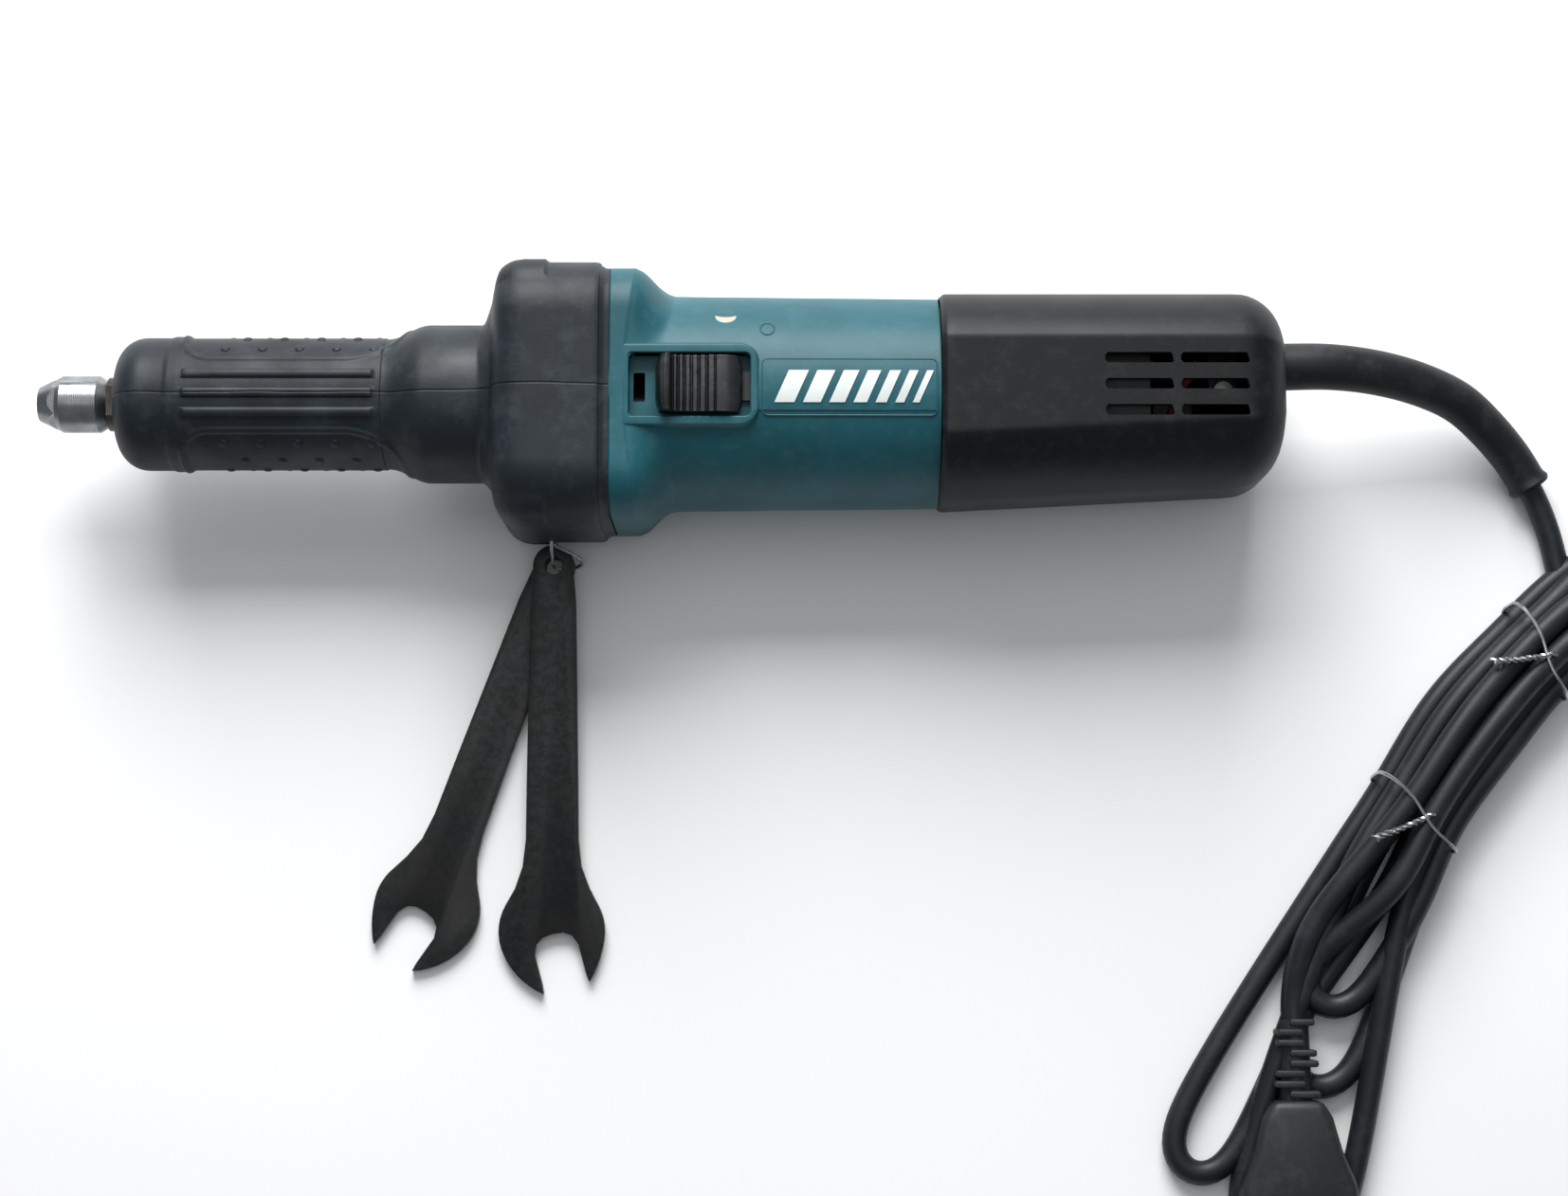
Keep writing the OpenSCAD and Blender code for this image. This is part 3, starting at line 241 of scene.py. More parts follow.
    @staticmethod
    def _bump(tree: Tree, height: Socket, depth_mm: float, base: Optional[ Socket ]) -> Socket:
        """Turns a height into a normal, on top of the one in base."""
        inputs = {"Height": height, "Strength": 1.0, "Distance": depth_mm * MM}
        if base:
            inputs["Normal"] = base
        return add_node(tree, "ShaderNodeBump", inputs=inputs).outputs[0]

    def _mark(self, tree: Tree, where: Socket) -> Socket:
        """Gives the height of this finish's tool marks."""
        if self.marks is Marks.DRAWN:
            stretched = add_node(
                tree, "ShaderNodeMapping", inputs={"Vector": where, "Scale": (1.0, 0.04, 1.0)}
            )
            return self._noise(tree, stretched.outputs[0], self.mark_mm, 4.0, 0.7)
        direction = "X" if self.marks in (Marks.TURNED, Marks.LAMINATED) else "Z"
        wave = {"wave_type": "BANDS", "bands_direction": direction, "wave_profile": "SIN"}
        # A wave texture repeats every 2 pi / 20 units
        scale = 2 * math.pi / (20 * self.mark_mm * MM)
        return add_node(
            tree,
            "ShaderNodeTexWave",
            wave,
            {"Vector": where, "Scale": scale, "Distortion": 0.3, "Detail": 2.0, "Detail Scale": 1.5},
        ).outputs["Fac"]

    def _seam_with_shade(self, tree: Tree, where: Socket, colour: object, normal: Socket) -> tuple[Socket, Socket]:
        """Draws the mould's parting line along the top and bottom, where Y is near zero, as a shallow groove
        painted near-black: painted shade in the groove.
        """
        split = add_node(tree, "ShaderNodeSeparateXYZ", inputs={"Vector": where}).outputs
        wander = self._noise(tree, where, 25.0, 2.0, 0.5)
        shift = self._range(tree, wander, 0.0, 1.0, -0.8 * MM, 0.8 * MM)
        y = add_node(tree, "ShaderNodeMath", {"operation": "ADD"}, {0: split["Y"], 1: shift}).outputs[0]
        away = add_node(tree, "ShaderNodeMath", {"operation": "ABSOLUTE"}, {0: y}).outputs[0]
        line = add_node(
            tree,
            "ShaderNodeMapRange",
            {"interpolation_type": "SMOOTHSTEP"},
            {"Value": away, "From Min": 0.1 * MM, "From Max": 0.4 * MM, "To Min": 1.0, "To Max": 0.0},
        ).outputs[0]
        # Near-black along the line: painted shade in the parting line's groove.
        dark = self._mixed(tree, line, colour, (0.002, 0.002, 0.002, 1.0))
        inverse = add_node(tree, "ShaderNodeMath", {"operation": "SUBTRACT"}, {0: 1.0, 1: line}).outputs[0]
        return dark, self._bump(tree, inverse, 0.15, normal)

    def _dusted(
        self, tree: Tree, where: Socket, colour: object, rough: Socket
    ) -> tuple[Socket, Socket]:
        """Lays pale scuffs and dust over the surface."""
        spots = self._noise(tree, where, self.dust_mm, 8.0, 0.72)
        share = self._range(tree, spots, 0.5, 0.78, high=self.dust)
        dusty = self._mixed(tree, share, colour, linear(self.dust_colour))
        raised = add_node(
            tree, "ShaderNodeMath", {"operation": "MULTIPLY_ADD"}, {0: share, 1: 0.6, 2: rough}
        )
        return dusty, raised.outputs[0]


# The housing: fine spark-eroded texture, satin, with a little pale dust
TEAL = Finish(
    "glass_filled_nylon_teal", "185560", "134850", 0.46, 0.05, ior=1.38, grain_mm=0.35,
    grain_depth_mm=0.03, patch_mm=45, dust=0.1, dust_colour="7fa3a5", dust_mm=5
)
# The rear cover: the same nylon in black, with a tighter sheen
COVER = Finish(
    "glass_filled_nylon_black", "0b1013", "090d10", 0.44, 0.05, ior=1.32, grain_mm=0.35,
    grain_depth_mm=0.03, patch_mm=40, dust=0.05, dust_mm=5
)
# The sleeve: soft rubber, rubbed and chalky, with the mould's parting line drawn near-black as painted shade
BOOT = Finish(
    "moulded_rubber_grey", "1d242a", "141a1f", 0.48, 0.1, ior=1.35, grain_mm=0.8, grain_depth_mm=0.04,
    patch_mm=22, dust=0.16, dust_colour="6c757b", dust_mm=10, seam_with_shade=True
)
# The cord guard: firm matt rubber
GUARD = Finish(
    "moulded_rubber_black", "15191c", "101417", 0.5, 0.08, ior=1.38, grain_mm=0.7, grain_depth_mm=0.03,
    dust=0.1
)
# The cord: smooth extruded rubber that has picked up dust
CORD = Finish(
    "extruded_rubber_grey", "161b1f", "11161a", 0.46, 0.08, ior=1.4, grain_mm=1.2, grain_depth_mm=0.03,
    patch_mm=35, dust=0.12, dust_colour="66717a", dust_mm=14
)
# The plug and the black inner mouldings: matt
PLUG = Finish("moulded_pvc_black", "171b1e", "111517", 0.5, 0.06, grain_mm=0.5, dust=0.08)
# The knob: hard and slippery, its ribs polished by the thumb; their edges are painted lighter as a painted
# sheen of that polish
KNOB = Finish(
    "moulded_acetal_black", "12161a", "0d1013", 0.36, 0.06, grain_mm=0.4, grain_depth_mm=0.015,
    patch_mm=14, dust=0.08, edge_wear_and_sheen=0.25, edge_wear_and_sheen_colour="5a6064"
)
# The spanners: stamped plate, oil-blackened, its edges rubbed bare
BLACKED = Finish(
    "blackened_spring_steel", "090a0b", "0d0c0b", 0.44, 0.1, metallic=0.2, ior=1.4, grain_mm=0.5,
    grain_depth_mm=0.006, patch_mm=16, dust=0.16, dust_colour="33383d", dust_mm=2.5, edge_wear_and_sheen=0.5,
    edge_wear_and_sheen_colour="5b5f63"
)
# The nut: lathe-turned, with rings round it that stretch the highlight
BRIGHT = Finish(
    "turned_bright_steel", "a3a6a8", "808386", 0.27, 0.08, metallic=1.0, grain_mm=1.0, grain_depth_mm=0.01,
    patch_mm=8, marks=Marks.TURNED, mark_mm=0.5, mark_depth_mm=0.01
)
# Ground shafts: fine rings, duller than the nut
GROUND = Finish(
    "ground_steel", "b5b8ba", "909396", 0.3, 0.08, metallic=1.0, grain_mm=0.8, grain_depth_mm=0.01,
    patch_mm=10, marks=Marks.TURNED, mark_mm=0.4, mark_depth_mm=0.01
)
# The spindle behind the nut: brown with old oil
OILED = Finish(
    "oiled_steel", "595652", "413d39", 0.4, 0.1, metallic=1.0, grain_mm=1.0, grain_depth_mm=0.01,
    patch_mm=6, marks=Marks.TURNED, mark_mm=0.6
)
# Bearing rings: ground and clean
BEARING = Finish(
    "bearing_steel", "aeb2b6", "8d9194", 0.22, 0.05, metallic=1.0, grain_mm=0.8, grain_depth_mm=0.006,
    patch_mm=9
)
# Balls: mirror bright
BALLS = Finish(
    "polished_bearing_balls", "d0d3d6", "b8bbbe", 0.08, 0.03, metallic=1.0, grain_mm=1.0,
    grain_depth_mm=0.003, patch_mm=4
)
# Die-cast nose: grainy and grey
CASTING = Finish(
    "cast_aluminium", "a5a7a8", "85888a", 0.48, 0.1, metallic=1.0, grain_mm=1.4, grain_depth_mm=0.05,
    patch_mm=18
)
# Cores: the edges of a stack of sheets
LAMINATIONS = Finish(
    "laminated_silicon_steel", "6d7073", "54575a", 0.42, 0.08, metallic=1.0, grain_mm=0.7,
    grain_depth_mm=0.01, patch_mm=12, marks=Marks.LAMINATED, mark_depth_mm=0.05
)
# Windings: strands under red-brown enamel
COPPER = Finish(
    "enamelled_copper_wire", "8a3d1c", "6a2b14", 0.32, 0.06, metallic=0.7, grain_mm=0.9, patch_mm=9,
    marks=Marks.WOUND, mark_depth_mm=0.15
)
# The commutator: turned copper, darkened by the brushes
SEGMENTS = Finish(
    "commutator_copper", "b0663c", "8f4d2a", 0.3, 0.08, metallic=1.0, grain_mm=0.5, grain_depth_mm=0.01,
    patch_mm=6, marks=Marks.TURNED, mark_mm=0.5, mark_depth_mm=0.01
)
# Brush holders: drawn strip
BRASS = Finish(
    "drawn_brass", "b08d46", "8c6f34", 0.32, 0.06, metallic=1.0, grain_mm=0.7, grain_depth_mm=0.01,
    patch_mm=8
)
# Brushes: dry grey-black
CARBON = Finish(
    "carbon_brush", "1e1d1c", "2a2928", 0.6, 0.08, grain_mm=0.4, grain_depth_mm=0.03, patch_mm=3
)
# Springs and circlip: drawn wire
SPRING = Finish(
    "spring_steel", "8b8f93", "6a6e72", 0.3, 0.06, metallic=1.0, grain_depth_mm=0.01, patch_mm=6,
    marks=Marks.DRAWN, mark_mm=0.5
)
# Screws: dull zinc
SCREWS = Finish(
    "zinc_plated_screws", "9d9f9c", "7d7f78", 0.34, 0.08, metallic=1.0, grain_depth_mm=0.01, patch_mm=4
)
# Plug pins: bright nickel
PLATED = Finish(
    "nickel_plated_brass", "c4c2bb", "a7a498", 0.22, 0.06, metallic=1.0, grain_mm=0.8,
    grain_depth_mm=0.008, patch_mm=7
)
# Fan and baffle: unpainted nylon
INNER = Finish("moulded_nylon_natural", "b9b4a4", "a39e8e", 0.5, 0.06, grain_mm=0.5, patch_mm=14)
# The suppressor: a dark dipped shell
CAPACITOR = Finish(
    "dipped_capacitor_shell", "1b2a3a", "152230", 0.35, 0.05, grain_mm=1.4, grain_depth_mm=0.04,
    patch_mm=8
)
# Leads: glossy insulation
LEADS = Finish(
    "lead_insulation", "17191c", "101214", 0.42, 0.05, grain_mm=1.0, grain_depth_mm=0.01, patch_mm=12
)
# The badge's bars: flat white print
PRINT = Finish("printed_border_film", "d9dfdd", "cdd3d1", 0.42, 0.04, grain_depth_mm=0.005, patch_mm=12)
# The rating plate: brushed sheet
PLATE = Finish(
    "printed_aluminium_plate", "a9adb0", "989c9f", 0.36, 0.05, metallic=0.9, grain_depth_mm=0.006,
    patch_mm=14, marks=Marks.DRAWN, mark_mm=0.4, mark_depth_mm=0.006
)
# Ties and tether: dull galvanised wire
TIE = Finish(
    "galvanised_tie_wire", "b8bbbd", "94979a", 0.3, 0.08, metallic=1.0, grain_mm=0.5, grain_depth_mm=0.01,
    patch_mm=4
)
# The switch's lever: red moulding
SWITCH_RED = Finish(
    "moulded_switch_lever", "7d1712", "5f100d", 0.42, 0.05, grain_mm=0.5, grain_depth_mm=0.01, patch_mm=4
)


# ---- Mesh making ------------------------------------------------------------------------------


def smoothstep(low: float, high: float, value: float) -> float:
    """Rises smoothly from zero at low to one at high."""
    share = min(1.0, max(0.0, (value - low) / (high - low)))
    return share * share * (3 - 2 * share)


def ridge(distance: float, width: float) -> float:
    """Gives a round ridge's height, one at its middle and nothing past half its width."""
    share = abs(distance) / (width / 2)
    return math.sqrt(1 - share * share) if share < 1 else 0.0


def rounded_reach(angle: float, half_w: float, half_h: float, corner: float) -> float:
    """Gives how far a rounded rectangle reaches from its middle at an angle.

    Args:
        angle: Angle from +Y towards +Z.
        half_w: Half its width, along Y.
        half_h: Half its height, along Z.
        corner: Radius of its corners.

    Returns:
        The distance to its edge, in the units of the sizes.
    """
    c, s = abs(math.cos(angle)), abs(math.sin(angle))
    if c > 1e-9 and half_w / c * s <= half_h - corner:
        return half_w / c
    if s > 1e-9 and half_h / s * c <= half_w - corner:
        return half_h / s
    mid_y, mid_z = half_w - corner, half_h - corner
    along = c * mid_y + s * mid_z
    return along + math.sqrt(max(0.0, along * along - mid_y * mid_y - mid_z * mid_z + corner * corner))


def spun(bm: BMesh, profile: Sequence[tuple[float, float]], steps: int) -> None:
    """Spins a closed profile of (x, radius) in millimetres round the spindle axis."""
    verts = [bm.verts.new((x * MM, r * MM, 0.0)) for x, r in profile]
    edges = [bm.edges.new((verts[i], verts[(i + 1) % len(verts)])) for i in range(len(verts))]
    bmesh.ops.spin(
        bm, geom=verts + edges, cent=(
            0, 0, 0
        ), axis=(1, 0, 0), angle=2 * math.pi, steps=steps, use_merge=True
    )


def reshape(bm: BMesh, move: Callable[[float, float, float], tuple[float, float, float]]) -> None:
    """Moves each vertex by a rule on its (x, radius, angle) in millimetres that gives (x, y, z)."""
    for vert in bm.verts:
        x, y, z = (c / MM for c in vert.co)
        vert.co = Vector(move(x, math.hypot(y, z), math.atan2(z, y))) * MM


def swept(
    bm: BMesh, path: Sequence[Vector], radii: Sequence[float], sides: int, closed: bool = False
) -> None:
    """Sweeps a ring along a path, in metres, with a radius for each point.

    Args:
        bm: The mesh that the tube is added to.
        path: The points of its centre line.
        radii: The tube's radius at each of those points.
        sides: How many sides the ring has.
        closed: True if the tube's end meets its start.
    """
    count = len(path)

    def heading(i: int) -> Vector:
        ahead = path[(i + 1) % count] if closed or i + 1 < count else path[i]
        behind = path[i - 1] if closed or i > 0 else path[i]
        return (ahead - behind).normalized()

    facing = heading(0)
    turn = facing.to_track_quat("Z", "Y").to_matrix().to_4x4()
    place = Matrix.Translation(path[0]) @ turn
    first = bmesh.ops.create_circle(
        bm, segments=sides, radius=radii[0], cap_ends=False, matrix=place
    )["verts"]
    ring = list({e for v in first for e in v.link_edges})
    start = list(ring)
    for i in range(1, count):
        made = bmesh.ops.extrude_edge_only(bm, edges=ring)["geom"]
        verts = [g for g in made if isinstance(g, bmesh.types.BMVert)]
        ring = [g for g in made if isinstance(g, bmesh.types.BMEdge)]
        now = heading(i)
        middle = sum((v.co for v in verts), Vector()) / len(verts)
        rotate = facing.rotation_difference(now).to_matrix()
        scale = radii[i] / radii[i - 1]
        for vert in verts:
            vert.co = path[i] + rotate @ ((vert.co - middle) * scale)
        facing = now
    if closed:
        bmesh.ops.bridge_loops(bm, edges=start + ring)
    else:
        bmesh.ops.holes_fill(bm, edges=start + ring, sides=0)


def curve_through(points: Sequence[Vector], per_span: int) -> list[Vector]:
    """Gives a smooth line through the points, with per_span steps between each two."""
    line = []
    for i in range(len(points) - 1):
        p0, p1 = points[max(0, i - 1)], points[i]
        p2, p3 = points[i + 1], points[min(len(points) - 1, i + 2)]
        # Centripetal spacing keeps unevenly spaced points from making loops
        t1 = max(1e-9, (p1 - p0).length ** 0.5)
        t2 = max(1e-9, (p2 - p1).length ** 0.5)
        t3 = max(1e-9, (p3 - p2).length ** 0.5)
        m1 = (p2 - p1) / t2 if i == 0 else (p1 - p0) / t1 - (p2 - p0) / (t1 + t2) + (p2 - p1) / t2
        m2 = (
            p2 - p1
        ) / t2 if i == len(points) - 2 else (p2 - p1) / t2 - (p3 - p1) / (t2 + t3) + (p3 - p2) / t3
        m1, m2 = m1 * t2, m2 * t2
        for k in range(per_span):
            t = k / per_span
            line.append(
                p1 * (2 * t**3 - 3 * t**2 + 1)
                + m1 * (t**3 - 2 * t**2 + t)
                + p2 * (-2 * t**3 + 3 * t**2)
                + m2 * (t**3 - t**2)
            )
    return line + [points[-1].copy()]


def relaxed(line: Sequence[Vector], step: float, passes: int, held: int = 8) -> list[Vector]:
    """Spaces a line's points evenly and eases its kinks, as a stiff cord does.

    Args:
        line: The points, in metres.
        step: The distance between the new points.
        passes: How many times each point moves half-way to the middle of its neighbours.
        held: How many points stay put at each end.

    Returns:
        The new line, with the same ends.
    """
    even, left = [line[0].copy()], step
    for a, b in zip(line, line[1:]):
        span = (b - a).length
        at = left
        while at < span:
            even.append(a.lerp(b, at / span))
            at += step
        left = at - span
    even.append(line[-1].copy())
    for _ in range(passes):
        before = [p.copy() for p in even]
        for i in range(held, len(even) - held):
            even[i] = (before[i - 1] + before[i + 1] + 2 * before[i]) / 4
    return even


def prism(bm: BMesh, outline: Sequence[Point], rise: Vector) -> list[bmesh.types.BMVert]:
    """Raises a flat outline, in millimetres, into a solid.

    Returns:
        The solid's vertices.
    """
    base = [bm.verts.new(Vector(p) * MM) for p in outline]
    face = bm.faces.new(base)
    made = bmesh.ops.extrude_face_region(bm, geom=[face])["geom"]
    top = [g for g in made if isinstance(g, bmesh.types.BMVert)]
    bmesh.ops.translate(bm, verts=top, vec=rise * MM)
    bmesh.ops.recalc_face_normals(bm, faces=bm.faces[:])
    return base + top


def rounded_outline(
    x0: float, x1: float, y0: float, y1: float, corners: Sequence[float], z: float, steps: int = 6
) -> list[Point]:
    """Gives a rectangle with a radius for each corner, in the order +x +y, -x +y, -x -y, +x -y."""
    places = (
        (x1 - corners[0], y1 - corners[0], 0, corners[0]),
        (x0 + corners[1], y1 - corners[1], 90, corners[1]),
        (x0 + corners[2], y0 + corners[2], 180, corners[2]),
        (x1 - corners[3], y0 + corners[3], 270, corners[3]),
    )
    points = []
    for cx, cy, start, radius in places:
        count = steps if radius > 0.01 else 0
        for i in range(count + 1):
            a = math.radians(start + 90 * i / max(1, count))
            points.append((cx + radius * math.cos(a), cy + radius * math.sin(a), z))
    return points


def bevel_sharp(bm: BMesh, width_mm: float, segments: int = 2, angle_deg: float = 35.0) -> None:
    """Rounds every edge whose faces turn by more than angle_deg."""
    sharp = [
        e for e in bm.edges if len(e.link_faces) == 2 and e.calc_face_angle(0.0) > math.radians(angle_deg)
    ]
    bmesh.ops.bevel(
        bm,
        geom=sharp,
        offset=width_mm * MM,
        offset_type="OFFSET",
        affect="EDGES",
        segments=segments,
        profile=0.5,
        material=-1,
        clamp_overlap=True,
    )


def finished(
    bm: BMesh, name: str, finish: Finish, body: str = "root", turned_out: bool = True
) -> bpy.types.Object:
    """Turns a bmesh into a piece that is dressed and rides on its body.

    Args:
        bm: The mesh, which is freed.
        name: The piece's name.
        finish: What it is made of.
        body: The CAD body that it rides on.
        turned_out: True if its faces are to be turned outwards.

    Returns:
        The piece.
    """
    bmesh.ops.remove_doubles(bm, verts=bm.verts[:], dist=1e-6)
    if turned_out:
        bmesh.ops.recalc_face_normals(bm, faces=bm.faces[:])
    mesh = bpy.data.meshes.new(name)
    bm.to_mesh(mesh)
    bm.free()
    piece = bpy.data.objects.new(name, mesh)
    bpy.context.scene.collection.objects.link(piece)
    mesh.materials.append(finish.material())
    mesh.shade_smooth()
    mesh.set_sharp_from_angle(angle=math.radians(32))
    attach(piece, body)
    LOG.info("%s: %d faces, %s", name, len(mesh.polygons), finish.name)
    return piece


def soften(piece: bpy.types.Object, width_mm: float, angle_deg: float) -> None:
    """Rounds the edges that turn by more than angle_deg, after every cut."""
    bevel = piece.modifiers.new("soft_edges", "BEVEL")
    bevel.width, bevel.segments = width_mm * MM, 2
    bevel.limit_method, bevel.angle_limit = "ANGLE", math.radians(angle_deg)


def cut(piece: bpy.types.Object, bm: BMesh) -> None:
    """Cuts the solid in bm out of a piece, and frees it."""
    mesh = bpy.data.meshes.new("cutter")
    bmesh.ops.recalc_face_normals(bm, faces=bm.faces[:])
    bm.to_mesh(mesh)
    bm.free()
    tool = bpy.data.objects.new("cutter", mesh)
    bpy.context.scene.collection.objects.link(tool)
    modifier = piece.modifiers.new("cut", "BOOLEAN")
    modifier.operation = "DIFFERENCE"
    modifier.solver = "EXACT"
    modifier.object = tool
    bpy.context.view_layer.update()
    graph = bpy.context.evaluated_depsgraph_get()
    result = bpy.data.meshes.new_from_object(piece.evaluated_get(graph), depsgraph=graph)
    old = piece.data
    piece.modifiers.remove(modifier)
    piece.data = result
    result.name = piece.name
    result.shade_smooth()
    result.set_sharp_from_angle(angle=math.radians(32))
    bpy.data.meshes.remove(old)
    bpy.data.objects.remove(tool)


def dress(finish: Finish, *names: str) -> None:
    """Gives CAD nodes a finish in place of their plain colour."""
    for name in names:
        mesh = frame["nodes"][name].data
        mesh.materials.clear()
        mesh.materials.append(finish.material())
        LOG.info("%s: CAD node, %s", name, finish.name)


# ---- Cord, hank and plug ----------------------------------------------------------------------


@dataclass
class SupplyCord:
    """The supply cord: its run from the guard, the hank, the ties and the plug. Millimetres."""

    diameter: float = 7.2
    length: float = 2000.0
    exit_x: float = 358.0
    route: tuple[Point, ...] = (
        (0, 11, 0), (16, 11.3, -1), (31, 10.3, -5), (45, 7.6, -10), (57, 3.4, -16), (66, -3.1, -21),
        (74, -11.2, -25), (80, -20, -27), (85, -31, -29), (88, -43, -29.6), (89, -54, -29.6),
    )
    hank: tuple[tuple[float, float], ...] = ((110, -46), (57, -80), (27, -130), (-6, -232))
    ties: tuple[float, ...] = (0.21, 0.52)
    # Each loop: lane and layer of its run down, the same for its run back, its fold's place and radius
    loops: tuple[tuple[float, float, float, float, float, float, float], ...] = (
        (1.5, 0, 0.5, 0, 372, -188, 10.5),
        (-0.5, 0, -1.5, 0, 337, -214, 9.5),
        (1.0, 1, -1.0, 1, 362, -232, 15.0),
        (0.5, 2, 1.5, 1, 376, -166, 9.5),
    )
    plug: tuple[float, float] = (364.0, -200.0)
    objects: list[bpy.types.Object] = field(default_factory=list)

    def middle(self, t: float) -> Vector:
        """Gives the hank's middle line at a share t of its length, flat on the floor."""
        u = 1 - t
        weights = (u**3, 3 * u * u * t, 3 * u * t * t, t**3)
        x = sum(w * (p[0] + self.exit_x) for w, p in zip(weights, self.hank))
        y = sum(w * p[1] for w, p in zip(weights, self.hank))
        return Vector((x, y, FLOOR_Z / MM))

    def along(self, t: float) -> Vector:
        """Gives the hank's direction at t, away from the tool."""
        return (self.middle(t + 0.01) - self.middle(t - 0.01)).normalized()

    def aside(self, t: float) -> Vector:
        """Gives the direction across the hank at t, to its left as it runs away from the tool."""
        ahead = self.along(t)
        return Vector((-ahead.y, ahead.x, 0))

    def lane(self, t: float, across: float, layer: float, spread: float = 1.0) -> Vector:
        """Gives a point in one lane of the hank.

        Args:
            t: Share of the hank's length.
            across: Lanes from the middle, to the left.
            layer: Layers above the floor.
            spread: How much wider than tight the lanes lie.

        Returns:
            The point, in millimetres.
        """
        half = self.diameter / 2
        rise = Vector((0, 0, half + layer * self.diameter * 0.93 + 0.1))
        return self.middle(t) + self.aside(t) * (across * self.diameter * 1.02 * spread) + rise

    def path(self) -> list[Vector]:
        """Gives the cord's whole centre line, in metres."""
        points = [Vector((x + self.exit_x, y, z)) for x, y, z in self.route]
        half = self.diameter / 2
        for number, (down, low, up, high, fold_x, fold_y, radius) in enumerate(self.loops):
            for t, spread in ((0.1, 1.1), (0.21, 1.0), (0.36, 1.12), (0.52, 1.0), (0.62, 1.2)):
                points.append(self.lane(t, down, low, spread))
            fold = Vector((fold_x, fold_y, FLOOR_Z / MM + half + 0.1 + 3.0 * (low > 1)))
            side = 1 if down > up else -1
            heading = Vector((-0.34, -0.94, 0))
            cross = Vector((-heading.y, heading.x, 0)) * side
            for angle in (0, 45, 90, 135, 180):
                a = math.radians(angle)
                points.append(fold + cross * (radius * math.cos(a)) + heading * (radius * math.sin(a)))
            for t, spread in ((0.62, 1.2), (0.52, 1.0), (0.36, 1.12), (0.21, 1.0), (0.1, 1.1)):
                points.append(self.lane(t, up, high, spread))
            if number < len(self.loops) - 1:
                following = self.loops[number + 1]
                top = self.middle(0.02 + 0.01 * number) + Vector((0, 0, half + 0.1 + 3.2 * number))
                ahead = (self.middle(0.02) - self.middle(0.06)).normalized()
                across = self.aside(0.05)
                centre = (up + following[0]) / 2 * self.diameter
                reach = max(9.5, abs(up - following[0]) / 2 * self.diameter)
                turn = 1 if up > following[0] else -1
                for angle in (20, 90, 160):
                    a = math.radians(angle)
                    points.append(
                        top + across * (centre + turn * reach * math.cos(a)) + ahead * (reach * math.sin(a))
                    )
        plug_x, plug_y = self.plug
        top = self.middle(0.0) + self.aside(0.05) * 2 + Vector((0, 0, half + 12))
        points.append(top)
        for t in (0.1, 0.21, 0.36, 0.52):
            points.append(self.lane(t, -0.5, 2))
        points.append(Vector((plug_x + 4, plug_y + 48, FLOOR_Z / MM + half + 8)))
        points.append(Vector((plug_x, plug_y + 30, FLOOR_Z / MM + 8.2)))
        points.append(Vector((plug_x, plug_y + 20, FLOOR_Z / MM + 8)))
        return relaxed(curve_through([p * MM for p in points], 8), 2.5 * MM, 14)

    def build_cord(self) -> None:
        """Makes the cord as one curve of its real length."""
        line = self.path()
        curve = bpy.data.curves.new("supply_cord", "CURVE")
        curve.dimensions = "3D"
        curve.bevel_depth = self.diameter / 2 * MM
        curve.bevel_resolution = 5
        curve.use_fill_caps = True
        spline = curve.splines.new("POLY")
        spline.points.add(len(line) - 1)
        for point, place in zip(spline.points, line):
            point.co = (*place, 1.0)
        piece = bpy.data.objects.new("supply_cord", curve)
        bpy.context.scene.collection.objects.link(piece)
        curve.materials.append(CORD.material())
        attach(piece, "root")
        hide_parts("cord_lead", "cord_hank")
        total = sum((b - a).length for a, b in zip(line, line[1:]))
        LOG.info("supply_cord: %.3f m along its middle", total)
        self.objects.append(piece)

    def build_ties(self) -> None:
        """Makes the two thin steel ties with their twisted tails."""
        bm = bmesh.new()
        half_wire = 0.55
        for t in self.ties:
            across, ahead, middle = self.aside(t), self.along(t), self.middle(t)
            half_w, height = 2.05 * self.diameter, 3 * self.diameter * 0.95
            loop = []
            for i in range(48):
                a = 2 * math.pi * i / 48
                reach = rounded_reach(a, half_w + half_wire, height / 2, 6.5)
                lift = Vector((0, 0, height / 2 + 0.3 + reach * math.sin(a)))
                lean = ahead * (4.0 * math.cos(a) + 1.0 * math.sin(2 * a))
                loop.append((middle + across * (reach * math.cos(a)) + lift + lean) * MM)
            swept(bm, loop, [half_wire * MM] * len(loop), 8, closed=True)
            knot = middle + across * 3.0 + Vector((0, 0, height + 0.6))
            for phase in (0, math.pi):
                tail = []
                for i in range(41):
                    share = i / 40
                    a = phase + share * 2 * math.pi * 4.5
                    swirl = 0.5 * (1 + 1.2 * share * share)
                    run = ahead * (-1 + 15 * share) - across * (9 * share + 2 * share * share)
                    lift = Vector((0, 0, swirl * math.sin(a) + 0.6 * share))
                    tail.append((knot + run + across * (swirl * math.cos(a)) + lift) * MM)
                swept(bm, tail, [half_wire * 0.9 * MM] * len(tail), 6)
        piece = finished(bm, "hank_tie_wires", TIE)
        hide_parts("hank_ties")
        self.objects.append(piece)

